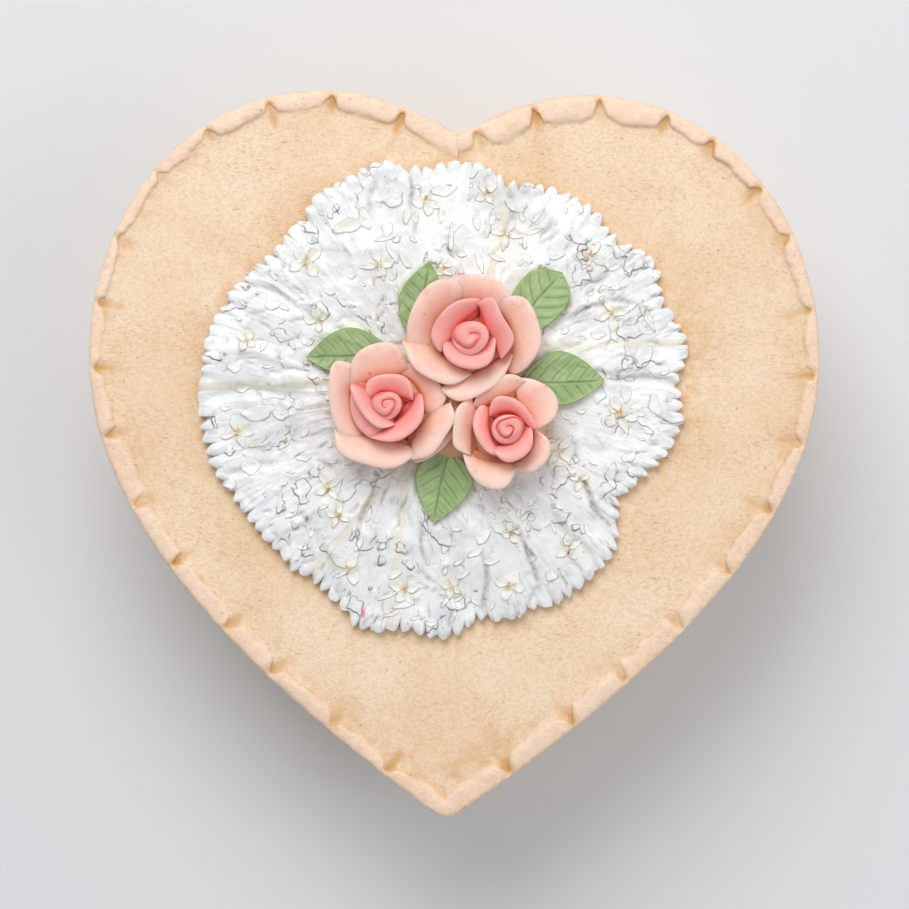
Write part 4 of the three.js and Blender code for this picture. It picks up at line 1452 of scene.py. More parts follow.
@dataclass
class LaceRuffle:
    """The cast lace under the roses, with its motifs as raised shapes."""

    surface: LaceSurface
    motifs: list[Motif]
    leaves: list[Leaf]
    rows: int = 80
    columns_per_tooth: int = 10
    inner_radius: float = 3.0
    edge_drop: float = 0.35
    motif_height: float = 0.24
    sink: float = 0.4
    red_spot: tuple[float, float] = (-13.5, -24.9)
    spot_size: tuple[float, float] = (0.3, 0.9)

    def build(self, finish: bpy.types.Material) -> list[bpy.types.Object]:
        """Models the ruffle and its motifs.

        Args:
            finish: The lace's paint.

        Returns:
            The ruffle and the motifs.
        """
        columns = self.surface.teeth * self.columns_per_tooth
        angle = np.linspace(0, 2 * math.pi, columns + 1)
        edge = self.surface.edge_radius(angle)
        share = np.linspace(0, 1, self.rows) ** 0.85
        radius = self.inner_radius + (edge[None, :] - self.inner_radius) * share[:, None]
        x = self.surface.centre_x + radius * np.cos(angle)
        y = self.surface.centre_y + radius * np.sin(angle)
        z = self.surface.height(x, y)
        z -= self.edge_drop * smooth_step(0.97, 1.0, share)[:, None]
        places = [np.stack([x[row], y[row], z[row]], axis=-1) for row in range(self.rows)]
        middle = np.array([self.surface.centre_x, self.surface.centre_y])
        rim = places[-1]
        for drop in (0.35, 1.0):
            lower = rim.copy()
            lower[:, 2] = rim[:, 2] + (FACE - self.sink - rim[:, 2]) * drop
            lower[:, :2] -= (rim[:, :2] - middle) * 0.006 * drop
            places.append(lower)
        floor = np.tile([*middle, FACE - self.sink], (columns + 1, 1))
        cover = floor.copy()
        cover[:, 2] = places[0][:, 2].mean()
        piece = Bench.draped_grid("lace_ruffle", np.stack([cover, *places, floor]))
        Bench.tidy(piece)
        self.colour(piece)
        ruffle = Bench.hand_in(piece, "lid", Slot.LACE, finish, 75)
        return [ruffle, self.build_motifs(finish)]

    def colour(self, piece: bpy.types.Object) -> None:
        """Stores where the paint is thin or worn, and where shade is painted.

        Args:
            piece: The ruffle.
        """
        points = Bench.places(piece)
        x, y, z = points.T
        angle, radius = self.surface.polar(x, y)
        _, groove = self.surface.lines(x, y)
        cream, ochre = np.zeros(len(x)), np.zeros(len(x))
        for motif in self.motifs:
            if motif.kind is MotifKind.FLOWER:
                gap = np.hypot(x - motif.x, y - motif.y)
                ochre = np.maximum(ochre, 0.9 * np.exp(-((gap / 0.8) ** 2)))
                cream = np.maximum(cream, 0.45 * np.exp(-((gap / 1.8) ** 2)))
        roses = np.min([np.hypot(x - r.x, y - r.y) - r.radius for r in ROSES], axis=0)
        by_rose = np.exp(-np.clip(roses, 0, None) / 1.3)
        patches = np.clip(Noise(51).layered(x / 2.4 + 9, y / 2.4 + 9, 3) - 0.1, 0, 1)
        ochre = np.maximum(ochre, by_rose * (0.1 + 0.8 * patches))
        for leaf in self.leaves:
            halo = leaf.gap(x, y)
            cream = np.maximum(cream, 0.7 * np.exp(-(((halo - 0.25) / 0.3) ** 2)))
        beyond = self.surface.beyond(x, y)
        side = (z < FACE + self.surface.thickness - self.edge_drop - 0.35) & (beyond > -0.5)
        worn = smooth_step(-0.3, 0.0, beyond) * np.clip(Noise(52).layered(x / 0.9, y / 0.9, 2), 0, 1) * 0.5
        aside, up = (x - self.red_spot[0]) / self.spot_size[0], (y - self.red_spot[1]) / self.spot_size[1]
        spot = np.exp(-(aside**2) - (up**2))
        patchy = 0.5 + 0.5 * Noise(53).layered(x / 6 + 11, y / 6 + 11, 2)
        near_edge = np.exp(-(((beyond + 1.5) / 4.5) ** 2))
        Bench.paint(piece, "groove", np.clip(groove, 0, 1))
        # Painted shade: darker towards the tip and in the broad fold on the left, on top of the shade of the
        # hollows
        painted_shade = 0.36 * smooth_step(16, -14, y) * (0.55 + 0.45 * patchy)
        painted_shade = painted_shade + 0.5 * np.exp(-(((x + 34) / 9) ** 2) - (((y - 10.5) / 4.5) ** 2))
        Bench.paint(piece, "hollow_shade", np.clip(self.surface.hollow_shade(x, y) + painted_shade, 0, 0.9))
        Bench.paint(piece, "cream", np.clip(cream, 0, 1))
        Bench.paint(piece, "ochre", np.clip(ochre, 0, 1))
        Bench.paint(piece, "bare", np.clip(0.75 * side + worn, 0, 1))
        Bench.paint(piece, "spot", np.clip(spot, 0, 1))
        Bench.paint(piece, "gather", np.clip(0.25 + 0.55 * near_edge + 0.75 * patchy**2, 0, 1))
        reach = 0.2 * radius / self.surface.mean_radius
        Bench.paint_places(piece, "ray", np.column_stack([np.cos(angle), np.sin(angle), reach]))

    def lobe(self, name: str, shape: Oval, tone: float) -> bpy.types.Object:
        """One flat-topped lobe laid on the ruffle, with a thin dark line round its foot.

        Args:
            name: The piece's name.
            shape: Middle x and y, half length, half width and turn in radians.
            tone: 0 for an eyelet, 0.5 for a flower's petal, 1 for a flower's heart.

        Returns:
            The closed lobe.
        """
        cx, cy, half_length, half_width, turn = shape
        profile = (
            (0, 0, 0.62), (0.4, 0, 0.66), (0.72, 0, 0.9), (0.9, 0, 1.0), (0.98, 0, 0.75),
            (1, 0.03, 0.2), (1, 0.15, -0.25), (1, 0.2, -1.6), (0, 0, -1.6),
        )
        reach, outset, rise = (np.array(column)[:, None] for column in zip(*profile))
        a = np.linspace(0, 2 * math.pi, 27)[None, :]
        seed = cx * 1.7 + cy * 2.3
        uneven = 1 + 0.11 * np.sin(2 * a + seed) + 0.10 * np.sin(3 * a + 2 * seed)
        uneven = uneven + 0.06 * np.sin(5 * a + seed)
        u = (half_length * reach * uneven + outset) * np.cos(a)
        v = (half_width * reach * uneven * (1 - 0.28 * np.cos(a) ** 2) + outset) * np.sin(a)
        x = cx + u * math.cos(turn) - v * math.sin(turn)
        y = cy + u * math.sin(turn) + v * math.cos(turn)
        tilt = 0.12 * np.cos(a - seed) * reach
        domed = rise + (0.5 * (1 - reach) if tone == 1 else 0)
        z = self.surface.height(x, y) + self.motif_height * (domed + tilt * (rise > 0)) - 0.03
        piece = Bench.draped_grid(name, np.stack([x, y, z], axis=-1))
        flat = np.broadcast_to
        line = np.array((0, 0, 0, 0.12, 0.5, 1, 1, 1, 1))[:, None]
        line = line * (0.62 + 0.38 * np.sin(a + 2 * seed) * np.sin(2 * a + seed))
        one_side = smooth_step(0.1, -0.5, np.cos(a - 1.3 * seed) * reach)
        heart = smooth_step(-0.2, -0.95, np.cos(a) * reach)
        Bench.paint(piece, "groove", flat(line, x.shape))
        fill = (0.32 if tone else 0.08) + 0.6 * one_side * (0.5 + 0.5 * math.sin(seed))
        Bench.paint(piece, "cream", flat(fill, x.shape) * (rise > 0))
        amber = 1.0 if tone == 1 else (0.8 * heart if tone else 0.0)
        Bench.paint(piece, "ochre", flat(amber, x.shape))
        # Painted shade of the folds, fainter on the motif
        Bench.paint(piece, "hollow_shade", 0.4 * self.surface.hollow_shade(x, y))
        for layer in ("bare", "spot", "gather"):
            Bench.paint(piece, layer, 0)
        Bench.paint_places(piece, "ray", np.zeros((*x.shape, 3)))
        return piece

    def build_motifs(self, finish: bpy.types.Material) -> bpy.types.Object:
        """Lays every motif on the ruffle, as one piece.

        Args:
            finish: The lace's paint.

        Returns:
            The motifs.
        """
        lobes = []
        for number, motif in enumerate(self.motifs):
            tone = 0.5 if motif.kind is MotifKind.FLOWER else 0.0
            for part, shape in enumerate(motif.lobes()):
                lobes.append(self.lobe(f"motif_{number}_{part}", shape, tone))
            if tone:
                size = motif.width * 0.34
                lobes.append(self.lobe(f"motif_{number}_heart", (motif.x, motif.y, size, size, 0.0), 1.0))
        piece = Bench.joined(lobes, "lace_motifs")
        Bench.tidy(piece)
        return Bench.hand_in(piece, "lid", Slot.LACE, finish, 75)


Way = tuple[tuple[float, float], ...]


@dataclass(frozen=True)
class Petal:
    """One thick petal, as a closed shape along its crest, its sides traced on the photo.

    Attributes:
        outer: Places along its outer side, from its rose's middle.
        inner: Places along its inner side, in the same order.
        crest: Heights over the seat at its start, its middle and its end.
        root: Height of its inner side over the seat.
        tone: 0 for peach, 1 for coral.
    """

    outer: Way
    inner: Way
    crest: tuple[float, float, float]
    root: float
    tone: float
    stations: int = 44
    around: int = 32
    peach_drop: float = 4.8
    coral_drop: float = 4.4

    def build(self, rose: Rose, name: str) -> bpy.types.Object:
        """Models the petal on its rose.

        Args:
            rose: The rose it belongs to.
            name: The petal's name.

        Returns:
            The petal.
        """
        s = (1 - np.cos(np.linspace(0, math.pi, self.stations))) / 2
        start, middle, end = self.crest
        lip = start * (1 - s) * (1 - 2 * s) + 4 * middle * s * (1 - s) + end * s * (2 * s - 1)
        seed = rose.x + 3.1 * self.outer[2][0] + 1.7 * self.outer[2][1]
        lip = lip + 0.12 * np.sin(7 * s + seed) + 0.07 * np.sin(13 * s + 2 * seed)
        reach = 1.1 * s - 0.05
        high = np.column_stack([spline(self.outer, reach), lip])
        low = np.column_stack([spline(self.inner, reach), np.full(len(s), self.root)])
        ends = np.clip(1 - np.abs(2 * s - 1) ** 8, 0, 1)[:, None] ** 0.5
        half, heart = (high - low) / 2, (high + low) / 2
        width = np.linalg.norm(half, axis=1, keepdims=True) * 2
        along = half / np.maximum(width / 2, 1e-6)
        up = np.array([0, 0, 1.0]) - along[:, 2:] * along
        up /= np.linalg.norm(up, axis=1, keepdims=True)
        dome = np.minimum(0.6, 0.2 * width)
        drop = self.coral_drop if self.tone > 0.5 else self.peach_drop
        run = np.maximum(np.linalg.norm(half[:, :2], axis=1, keepdims=True), 1e-6)
        inwards = -half * np.array([1, 1, 0]) / run
        phi = np.linspace(0, 2 * math.pi, self.around + 1)[None, :, None]
        over = np.clip(np.sin(phi), 0, 1)
        below = np.clip(-np.sin(phi), 0, 1)
        under = np.where(np.cos(phi) < 0, below**1.3, below**0.5)
        lean = np.where(np.cos(phi) < 0, 1.7 * below**0.5, 1.7 * below**1.5)
        across = np.sign(np.cos(phi)) * np.abs(np.cos(phi)) ** 0.75
        places = heart[:, None] + ends[:, None] * (half[:, None] * across + (up * dome)[:, None] * over)
        places = places - (ends * drop)[:, None] * under * np.array([0, 0, 1.0])
        places = places + (ends * inwards)[:, None] * lean
        rough = Noise(81).layered(places[..., 0] / 2.2 + 40 + seed, places[..., 1] / 2.2 + 40, 2)
        places[..., 2] += 0.09 * rough * ends
        places += np.array([rose.x, rose.y, rose.seat])
        piece = Bench.draped_grid(name, places)
        # Painted shade on the petal's inner side and underside; its crest stays light as a painted highlight
        inward = (0.5 - 0.5 * across[..., 0]) ** 1.3 * 0.85
        depth = np.where(np.sin(phi[..., 0]) < -1e-6, np.maximum(0.35 + 0.65 * under[..., 0], inward), inward)
        Bench.paint(piece, "depth", np.broadcast_to(depth, places.shape[:2]))
        Bench.paint(piece, "inner", self.tone)
        Bench.paint(piece, "bed", 0.05 * (1 - ends) * (1 - self.tone) + 0 * depth)
        return piece


@dataclass(frozen=True)
class Bud:
    """A rose's rolled heart.

    Attributes:
        x: Its middle, to the right of the rose's.
        y: Its middle, towards the cleft from the rose's.
        radius: In millimetres.
        top: Height over the seat.
        turns: Of the roll between the middle and the rim.
        start: Where the roll starts, as a share of a turn.
        hood: Direction in degrees of the side that stands up.
    """

    x: float
    y: float
    radius: float
    top: float
    turns: float
    start: float
    hood: float
    rings: int = 44
    around: int = 96
    wall: float = 4.0

    def build(self, rose: Rose, name: str) -> bpy.types.Object:
        """Models the roll as a disc with a spiral groove, and its wall.

        Args:
            rose: The rose it belongs to.
            name: The bud's name.

        Returns:
            The bud.
        """
        reach = np.concatenate([np.linspace(0, 1, self.rings), [1.05, 1.06, 1.0, 0]])[:, None]
        fall = np.concatenate([np.zeros(self.rings), [0.35, 1.0, self.wall, self.wall]])[:, None]
        a = np.linspace(0, 2 * math.pi, self.around + 1)[None, :]
        wander = 0.11 * np.sin(2 * a + 4 * reach + self.hood) + 0.07 * np.sin(3 * a - 5 * reach)
        phase = (reach * self.turns + a / (2 * math.pi) + self.start + wander * reach) % 1
        gap = np.minimum(phase, 1 - phase)
        groove = np.exp(-((gap / 0.13) ** 2)) * smooth_step(0.02, 0.3, reach)
        groove = groove * (0.8 + 0.2 * np.sin(a + 9 * reach))
        hood = np.cos(a - math.radians(self.hood)) * smooth_step(0.25, 0.95, reach)
        z = self.top - 0.7 * reach**2 - 0.6 * groove + 0.32 * phase * smooth_step(0, 0.3, reach) + 0.5 * hood
        radius = self.radius * reach * (1 + 0.05 * np.sin(2 * a + 1) + 0.03 * np.sin(3 * a))
        x, y = self.x + radius * np.cos(a), self.y + radius * np.sin(a)
        places = np.stack([rose.x + x, rose.y + y, rose.seat + z - fall], axis=-1)
        piece = Bench.draped_grid(name, places)
        # Painted shade in the spiral groove and on the bud's low side
        bud_shade = 0.1 + 0.6 * groove + 0.15 * (1 - hood)
        Bench.paint(piece, "depth", np.where(fall > 0.3, 0.7, np.clip(bud_shade, 0, 1)))
        Bench.paint(piece, "inner", 1)
        Bench.paint(piece, "bed", 0)
        return piece


def mound(
    name: str, middle: tuple[float, float], radius: float, top: float, inner: float, bed: float
) -> bpy.types.Object:
    """The resin under the petals, as a low dome.

    Args:
        name: The piece's name.
        middle: Its middle.
        radius: In millimetres.
        top: The level that it reaches.
        inner: 1 to make its middle coral, 0 for peach.
        bed: How much amber shows.

    Returns:
        The closed dome.
    """
    Bench.clear()
    bpy.ops.mesh.primitive_uv_sphere_add(segments=56, ring_count=28, radius=1)
    piece = Bench.active()
    piece.name = piece.data.name = name
    u, v, w = Bench.places(piece).T * MM
    low = FACE + 0.6
    height = low + (top - low) * np.clip(w, -0.05, 1)
    points = np.column_stack([middle[0] + u * radius, middle[1] + v * radius, height])
    points[:, 2] += 0.15 * Noise(83).layered(points[:, 0] / 2.5 + 40, points[:, 1] / 2.5 + 40, 2) * (w > 0.05)
    Bench.place(piece, points)
    # Painted shade over the resin under the petals, lighter where the amber bed shows
    Bench.paint(piece, "depth", 0.8 - 0.3 * bed)
    Bench.paint(piece, "inner", inner * smooth_step(0.66, 0.5, np.hypot(u, v)))
    Bench.paint(piece, "bed", bed)
    return piece


@dataclass(frozen=True)
class Rose:
    """One rose: its petals, its rolled heart and the resin under them.

    Attributes:
        name: The piece's name.
        x: Its middle, to the right.
        y: Its middle, towards the cleft.
        radius: Out to its outer petals.
        bud: Its rolled heart.
        petals: From its outer petals to its inner ones.
        seat: Level that its heights are counted from.
        core_height: Of the resin under the petals, over the seat.
    """

    name: str
    x: float
    y: float
    radius: float
    bud: Bud
    petals: tuple[Petal, ...]
    seat: float = FACE + 3.5
    core_height: float = 4.9

    def build(self, finish: bpy.types.Material) -> bpy.types.Object:
        """Models the rose from its core outwards and joins it.

        Args:
            finish: The petals' paint.

        Returns:
            The rose.
        """
        middle, top = (self.x, self.y), self.seat + self.core_height
        parts = [
            mound(f"{self.name}_core", middle, self.radius * 0.8, top, 1, 0),
            self.bud.build(self, f"{self.name}_bud"),
        ]
        for number, petal in enumerate(self.petals):
            parts.append(petal.build(self, f"{self.name}_petal_{number}"))
        piece = Bench.joined(parts, self.name)
        Bench.tidy(piece)
        return Bench.hand_in(piece, "lid", Slot.PETAL, finish, 80)


ROSES = (
    Rose(
        "rose_top", 2.4, 17.9, 10.2, Bud(0.0, 0.0, 2.6, 8.3, 1.1, 0.55, 40), (
        Petal(((-4.6, 8.3), (-2.3, 9.6), (1.5, 9.7), (4.9, 8.3), (6.8, 5.7)),
              ((-3.6, 4.4), (-1.7, 5.6), (1.2, 5.6), (3.8, 4.7), (5.7, 3.1)), (3.3, 4.3, 3.6), 2.9, 0),
        Petal(((-9.7, -2.0), (-9.8, 1.2), (-8.4, 5.7), (-5.8, 8.6), (-2.1, 9.2)),
              ((-5.2, -2.7), (-5.8, -0.1), (-4.9, 2.8), (-3.3, 4.4), (-1.0, 5.6)), (3.6, 4.9, 4.4), 3.0, 0),
        Petal(((5.4, 6.8), (8.0, 6.5), (10.2, 3.4), (10.9, -0.4), (8.9, -4.6)),
              ((4.0, 4.7), (5.7, 2.8), (6.7, 0.2), (6.5, -2.3), (5.4, -4.9)), (4.0, 4.8, 3.6), 3.0, 0),
        Petal(((-4.2, -8.6), (-1.7, -9.7), (1.5, -8.8), (4.8, -6.4), (6.5, -3.3)),
              ((-3.3, -6.8), (-1.0, -6.0), (1.5, -4.9), (3.8, -3.5), (5.9, -2.2)), (4.4, 5.0, 4.9), 3.4, 0),
        Petal(((-10.3, -1.3), (-8.7, -4.6), (-5.8, -6.5), (-2.6, -7.2), (-0.1, -5.9)),
              ((-10.0, -0.6), (-7.4, -0.8), (-4.6, -2.3), (-2.0, -4.1), (-0.1, -5.2)),
              (5.2, 5.4, 5.0), 3.9, 0),
        Petal(((-5.0, -2.2), (-6.0, 0.2), (-5.2, 2.6), (-2.3, 5.4), (0.9, 6.2)),
              ((-3.6, -1.1), (-2.8, -0.1), (-1.8, 1.7), (-0.4, 3.4), (1.2, 4.7)), (6.6, 8.0, 7.8), 5.6, 1),
        Petal(((1.2, 5.6), (3.0, 6.2), (4.9, 3.3), (6.7, -0.1), (5.4, -2.8)),
              ((1.4, 4.4), (2.0, 2.8), (2.8, 1.0), (3.8, -0.7), (4.3, -2.3)), (7.6, 8.1, 6.8), 5.8, 1),
        Petal(((-4.2, -0.4), (-4.1, -2.3), (-1.0, -4.7), (3.0, -3.9), (4.0, -0.1)),
              ((-3.7, -0.3), (-2.3, -1.1), (0.1, -2.0), (2.2, -1.1), (3.3, 0.2)), (6.6, 7.2, 6.8), 6.2, 1.0),
        ),
    ),
    Rose(
        "rose_left", -10.5, 7.4, 9.3, Bud(0.2, -0.1, 2.2, 7.7, 1.6, 0.1, 70), (
        Petal(((1.6, 7.0), (4.8, 6.2), (7.7, 4.1), (9.4, 1.6), (8.3, -0.8)),
              ((1.3, 4.9), (3.5, 4.3), (5.1, 2.7), (5.8, 1.1), (5.8, -0.8)), (2.9, 3.6, 3.2), 2.6, 0.1),
        Petal(((-5.5, 3.7), (-5.0, 7.2), (-1.9, 9.4), (1.6, 9.3), (3.2, 6.6)),
              ((-4.7, 2.4), (-2.9, 3.5), (-0.6, 4.5), (1.3, 4.8), (3.2, 5.3)), (3.4, 4.6, 3.8), 3.0, 0),
        Petal(((-5.4, 6.6), (-7.7, 6.6), (-8.7, 2.7), (-8.3, -1.5), (-6.9, -5.3)),
              ((-4.7, 4.0), (-5.4, 2.1), (-5.1, -0.5), (-4.2, -3.1), (-2.7, -5.0)), (4.0, 4.5, 3.7), 2.9, 0),
        Petal(((-7.8, -4.0), (-7.2, -7.1), (-3.2, -9.1), (1.3, -9.7), (4.7, -7.9)),
              ((-6.9, -4.4), (-4.2, -4.5), (-1.6, -5.0), (1.3, -5.6), (3.9, -6.0)), (4.2, 4.7, 4.2), 3.2, 0),
        Petal(((5.5, -8.9), (8.3, -7.1), (10.1, -5.2), (11.1, -3.1), (10.6, -1.1)),
              ((4.2, -7.6), (6.1, -6.0), (7.7, -4.0), (9.0, -2.8), (9.6, -1.1)), (2.6, 2.9, 2.8), 2.2, 0.35),
        Petal(((4.2, -8.5), (7.1, -7.6), (9.5, -4.4), (10.8, -1.5), (10.1, 0.5)),
              ((3.9, -7.1), (4.3, -5.0), (6.1, -2.4), (8.0, -0.3), (9.8, 0.5)), (4.4, 4.9, 4.7), 3.3, 0),
        Petal(((-3.0, 1.3), (-2.7, 3.5), (0.0, 4.7), (3.5, 4.0), (4.4, 1.4)),
              ((-1.9, 0.9), (-1.0, 1.9), (0.6, 2.1), (2.2, 1.5), (3.7, 0.9)), (6.2, 7.1, 6.6), 5.6, 1),
        Petal(((-5.4, 1.9), (-5.2, -1.1), (-3.5, -4.2), (-1.3, -5.2), (0.3, -3.7)),
              ((-4.2, 2.1), (-3.2, 0.1), (-1.9, -1.6), (-0.3, -2.8), (1.0, -3.4)), (4.6, 4.9, 5.0), 5.2, 0.9),
        Petal(((-5.5, 2.4), (-4.2, -0.3), (-2.6, -2.4), (-0.6, -3.6), (1.2, -3.3)),
              ((-4.2, 3.1), (-2.7, 1.9), (-1.6, 0.0), (-0.2, -1.5), (1.2, -2.5)), (6.6, 7.2, 7.0), 6.0, 1),
        Petal(((6.0, 0.9), (5.8, -2.1), (4.2, -4.2), (1.6, -5.6), (-1.9, -5.2)),
              ((4.8, 1.6), (4.0, -0.2), (2.4, -2.0), (0.6, -3.4), (-1.6, -4.6)), (7.0, 7.2, 6.0), 5.6, 1),
        ),
    ),
    Rose(
        "rose_right", 8.1, 4.2, 8.4, Bud(0.3, -0.2, 2.3, 7.6, 1.6, 0.45, 120), (
        Petal(((1.6, 8.1), (5.2, 7.2), (8.0, 4.1), (7.4, 1.6), (4.5, -0.2)),
              ((1.6, 4.6), (2.6, 3.3), (3.6, 2.1), (4.0, 0.8), (3.9, -0.5)), (3.2, 4.1, 3.4), 2.8, 0),
        Petal(((1.0, -6.3), (3.2, -6.9), (6.1, -5.3), (6.9, -2.1), (4.8, -0.2)),
              ((1.0, -5.5), (2.7, -4.7), (3.9, -3.1), (4.4, -1.5), (4.2, -0.2)), (3.4, 4.0, 3.6), 2.9, 0),
        Petal(((-6.7, -3.6), (-5.4, -7.1), (-2.9, -9.2), (0.0, -9.2), (1.7, -6.4)),
              ((-6.1, -3.2), (-4.2, -4.7), (-1.9, -5.2), (0.0, -5.3), (1.7, -5.8)), (4.0, 4.5, 4.2), 3.2, 0),
        Petal(((-5.0, 4.0), (-4.0, 6.1), (-1.6, 7.8), (1.0, 8.3), (2.7, 7.7)),
              ((-4.4, 2.9), (-2.7, 3.6), (-0.8, 4.6), (1.0, 5.6), (2.5, 6.5)), (4.2, 4.7, 4.3), 3.3, 0.05),
        Petal(((-5.6, 4.7), (-7.5, 3.0), (-8.1, -0.2), (-7.8, -3.1), (-5.6, -4.2)),
              ((-5.1, 4.3), (-4.5, 2.4), (-5.1, 0.1), (-5.2, -2.0), (-5.3, -3.9)),
              (4.4, 4.9, 4.3), 3.2, 0.05),
        Petal(((-2.7, 2.4), (-1.9, 4.5), (1.0, 4.6), (3.2, 2.9), (4.7, 0.8)),
              ((-1.9, 1.9), (-0.6, 2.5), (1.1, 2.4), (2.6, 1.2), (3.9, -0.2)), (6.2, 6.9, 5.8), 5.4, 1),
        Petal(((-4.5, 3.2), (-5.1, 0.4), (-4.2, -2.1), (-2.5, -3.9), (-0.8, -4.4)),
              ((-2.5, 2.9), (-2.7, 0.8), (-2.3, -1.3), (-1.4, -2.8), (-0.3, -3.2)), (5.6, 6.4, 6.2), 5.6, 1),
        Petal(((-1.7, -3.9), (0.0, -5.2), (2.3, -4.7), (4.0, -2.8), (4.2, -0.5)),
              ((-1.6, -2.8), (-0.1, -2.6), (1.3, -2.1), (2.4, -1.0), (3.2, 0.0)), (6.4, 7.0, 6.6), 5.6, 1),
        ),
    ),
)


BED_MIDDLE = (0.3, 8.4)
BED_RADIUS = 10.3
BED_TOP = FACE + 6.1
BED_AMBER = 0.6


def rose_bed(finish: bpy.types.Material) -> bpy.types.Object:
    """Models the amber resin that shows between the roses.

    Args:
        finish: The petals' paint.

    Returns:
        The bed.
    """
    piece = mound("rose_bed", BED_MIDDLE, BED_RADIUS, BED_TOP, 0, BED_AMBER)
    Bench.tidy(piece)
    return Bench.hand_in(piece, "lid", Slot.PETAL, finish, 80)


@dataclass(frozen=True)
class Leaf:
    """One leaf under the roses.

    Attributes:
        name: The piece's name.
        root: Where it comes out from under the roses.
        tip: Where it ends.
        left: Half its width on the left of its rib, seen from the root.
        right: Half its width on the right of its rib.
        fullest: Share of its length at which it is widest.
        blunt: 1.8 for a pointed tip, 4 for a round one.
    """

    name: str
    root: tuple[float, float]
    tip: tuple[float, float]
    left: float
    right: float
    fullest: float
    blunt: float = 1.8
    thickness: float = 1.6
    lift: float = 1.15
    rows: int = 76
    across: int = 57

    @property
    def length(self) -> float:
        """From root to tip."""
        return math.dist(self.root, self.tip)

    def half_width(self, t: Points, side: Points) -> Points:
        """The width from the rib to the edge, at shares of the leaf's length.

        Args:
            t: Shares from the root to the tip.
            side: Above 0 on the left of the rib.

        Returns:
            Millimetres for each share.
        """
        rise = np.sin(math.pi / 2 * np.clip(t / self.fullest, 0, 1)) ** 0.8
        fall = 1 - np.clip((t - self.fullest) / (1 - self.fullest), 0, 1) ** self.blunt
        return np.where(side > 0, self.left, self.right) * rise * fall

    def local(self, x: Points, y: Points) -> tuple[Points, Points]:
        """Share along the leaf, and millimetres to the left of its rib."""
        ax, ay = (np.subtract(self.tip, self.root)) / self.length
        dx, dy = x - self.root[0], y - self.root[1]
        return (dx * ax + dy * ay) / self.length, -dx * ay + dy * ax

    def gap(self, x: Points, y: Points) -> Points:
        """Rough distance outside the leaf's edge, negative inside it.

        Args:
            x: Places to the right.
            y: Places towards the cleft.

        Returns:
            Millimetres for each place.
        """
        t, side = self.local(x, y)
        aside = np.abs(side) - self.half_width(np.clip(t, 0, 1), side)
        over = np.maximum(t - 1, 0) * self.length
        inside = np.where((t > 0) & (t < 1), np.minimum(aside, 0), 0)
        return 0.8 * (np.hypot(np.maximum(aside, 0), over) + inside)

    def build(self, finish: bpy.types.Material) -> bpy.types.Object:
        """Models the leaf, its rib and its side veins.

        Args:
            finish: The leaves' paint.

        Returns:
            The leaf.
        """
        across = self.across
        t = np.linspace(0.0, 1, self.rows)[:, None]
        a = np.concatenate([np.linspace(-1, 1, across), np.linspace(1, -1, across)[1:]])[None, :]
        under = np.concatenate([np.zeros(across), np.ones(across - 2), [0]])[None, :]
        half = self.half_width(t, a)
        side = a * half * (1 - 0.06 * under)
        ax, ay = np.subtract(self.tip, self.root) / self.length
        bend = 0.3 * np.sin(math.pi * t) * np.sin(self.root[0])
        x = self.root[0] + ax * t * self.length - ay * (side + bend)
        y = self.root[1] + ay * t * self.length + ax * (side + bend)
        wobble = 0.35 * Noise(91).layered(x / 2.5 + 40, y / 2.5 + 40, 2)
        slant = t * self.length - 0.7 * np.abs(side) - 0.05 * side**2 + wobble
        wave = (slant / 2.1 + 0.35 * np.sign(a)) % 1
        rib = np.exp(-(((side + 0.4 * wobble) / 0.16) ** 2)) * smooth_step(1, 0.8, t)
        fade = smooth_step(0.98, 0.7, np.abs(a)) * smooth_step(0.1, 0.6, np.abs(side))
        veins = np.exp(-(((wave - 0.5) / 0.07) ** 2)) * fade
        fine = np.exp(-((((slant / 0.85) % 1 - 0.5) / 0.12) ** 2)) * fade
        fine = fine * smooth_step(-0.1, 0.5, wobble / 0.35)
        ground = 0.5 * LACE.height(x, y) + 0.5 * (FACE + 1.9 + 0.6 * (1 - t))
        arch = self.lift * (0.55 + 0.45 * np.sin(math.pi * np.clip(0.15 + 0.8 * t, 0, 1)))
        cup = 0.45 * (np.abs(a) ** 1.6) - 0.3
        z = ground + arch + cup * np.sin(math.pi * np.clip(t, 0.04, 0.96)) ** 0.5
        z = z - 0.18 * rib - 0.1 * veins - 0.04 * fine + 0.12 * (wave - 0.5) * fade
        z = z - 0.12 * smooth_step(0.96, 1.0, np.abs(a))
        z = z - self.thickness * under * smooth_step(0, 0.06, t) * smooth_step(1, 0.95, t)
        piece = Bench.draped_grid(self.name, np.stack([x, y, z], axis=-1))
        Bench.paint(piece, "vein", np.clip(0.85 * rib + 0.8 * veins + 0.45 * fine, 0, 1))
        # Painted shade along the edges
        Bench.paint(piece, "rim", smooth_step(0.93, 0.995, np.abs(a)) + 0 * t)
        Bench.tidy(piece)
        return Bench.hand_in(piece, "lid", Slot.LEAF, finish, 60)


LEAVES = [
    Leaf("leaf_upper_left", (-5.4, 16.0), (-4.1, 30.0), 3.9, 3.0, 0.55),
    Leaf("leaf_upper_right", (8.2, 18.2), (16.6, 28.6), 3.9, 4.2, 0.6, 3.5),
    Leaf("leaf_right", (10.6, 11.6), (23.5, 12.0), 4.9, 3.7, 0.45),
    Leaf("leaf_left", (-9.5, 15.5), (-23.1, 14.7), 3.0, 4.4, 0.5),
    Leaf("leaf_lower", (-0.5, 0.6), (-2.9, -10.6), 4.9, 4.2, 0.38),
]


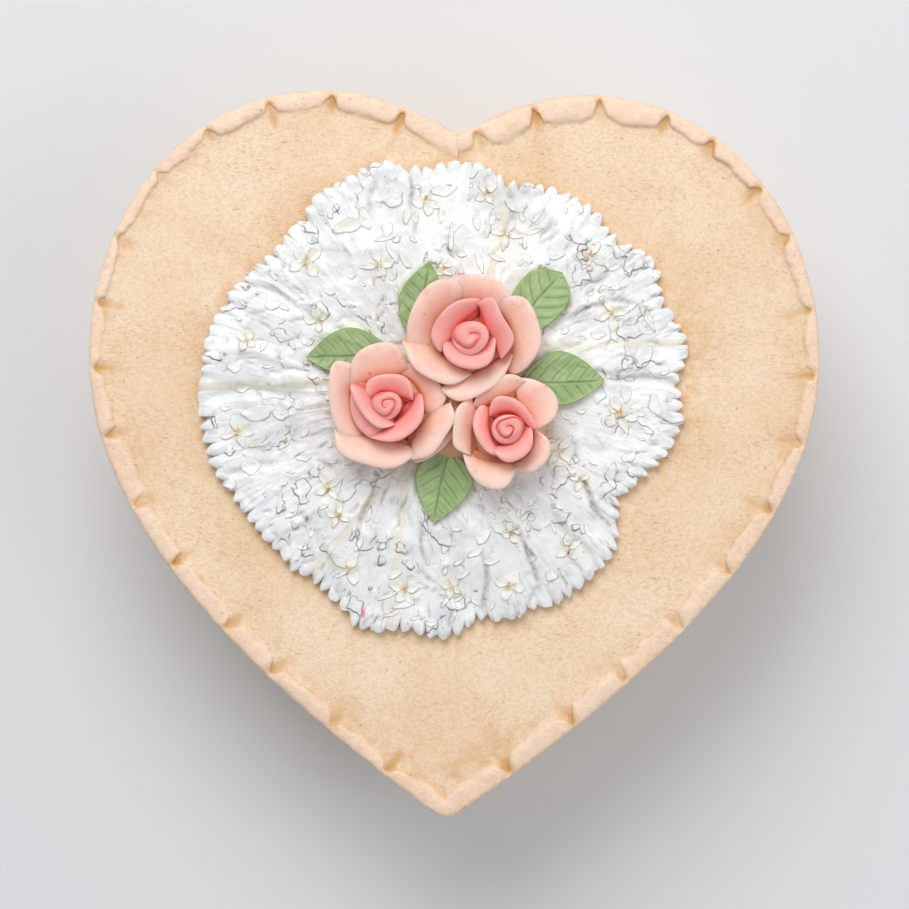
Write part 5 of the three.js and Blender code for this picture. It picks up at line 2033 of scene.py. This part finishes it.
@dataclass(frozen=True)
class Studio:
    """The pale floor, the soft lights and the camera over the box."""

    camera_height: float = 430.0
    photo_scale: float = 0.1567
    aside: float = 0.3
    roll: float = 1.0
    sensor_width: float = 36
    floor_dark: Colour = (0.72, 0.72, 0.73)
    floor_light: Colour = (0.76, 0.76, 0.77)
    air: Colour = (0.93, 0.96, 1.0)
    air_strength: float = 0.44
    key_place: tuple[float, float, float] = (-0.14, 0.48, 0.64)
    key_size: float = 0.5
    key_power: float = 4.3
    fill_place: tuple[float, float, float] = (0.55, -0.1, 0.55)
    fill_size: float = 0.7
    fill_power: float = 1.4

    def build(self) -> None:
        """Sets up the stage."""
        scene = bpy.context.scene
        Bench.clear()
        bpy.ops.mesh.primitive_plane_add(size=3, location=(0, 0, 0))
        floor = Bench.active()
        floor.name = "studio_floor"
        board = Board("pale_floor")
        tone = board.mix(board.noise(6, 3), self.floor_dark, self.floor_light)
        board.link(tone, board.shader.inputs["Base Color"])
        board.set(Roughness=0.7)
        floor.data.materials.append(board.material)
        floor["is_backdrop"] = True
        world = scene.world or bpy.data.worlds.new("studio_air")
        scene.world = world
        world.use_nodes = True
        world.node_tree.nodes["Background"].inputs["Color"].default_value = (*self.air, 1)
        world.node_tree.nodes["Background"].inputs["Strength"].default_value = self.air_strength
        self.lamp("key", self.key_place, self.key_size, self.key_power)
        self.lamp("fill", self.fill_place, self.fill_size, self.fill_power)
        scene.view_settings.view_transform = "Standard"
        self.camera()

    def lamp(self, name: str, place: tuple[float, float, float], size: float, power: float) -> None:
        """Adds a square area light that faces the lid.

        Args:
            name: The light's name.
            place: Metres.
            size: Its side in metres.
            power: Watts.
        """
        bpy.ops.object.light_add(type="AREA", location=place)
        lamp = Bench.active()
        lamp.name = name
        lamp.data.size = size
        lamp.data.energy = power
        target = Vector((0, 0, FACE * MM))
        lamp.rotation_euler = (Vector(place) - target).to_track_quat("Z", "Y").to_euler()

    def camera(self) -> None:
        """Adds the camera, straight above the lid, framed as the photo is."""
        bpy.ops.object.camera_add(location=(self.aside * MM, 0, (FACE + self.camera_height) * MM))
        camera = Bench.active()
        camera.name = "photo_camera"
        camera.rotation_euler = (0, 0, math.radians(self.roll))
        frame_width = IMAGE_PIXELS * self.photo_scale
        camera.data.sensor_width = self.sensor_width
        camera.data.lens = self.sensor_width * self.camera_height / frame_width
        camera.data.clip_start = 0.01
        bpy.context.scene.camera = camera


def main() -> None:
    """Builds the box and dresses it."""
    logging.basicConfig(level=logging.INFO, format="%(name)s %(message)s")
    Studio().build()
    resin, lace = ResinFinish().material(), LaceFinish().material()
    petals, leaves = PetalFinish().material(), LeafFinish().material()
    BoxShell().build(resin)
    LidPlate(LACE).build(resin)
    LipRing().build(resin)
    LaceRuffle(LACE, all_motifs(), LEAVES).build(lace)
    for leaf in LEAVES:
        leaf.build(leaves)
    rose_bed(petals)
    for rose in ROSES:
        rose.build(petals)
    low_high = [[list(corner) for corner in box] for box in (CAD_BOUNDS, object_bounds())]


if __name__ == "__main__":
    main()
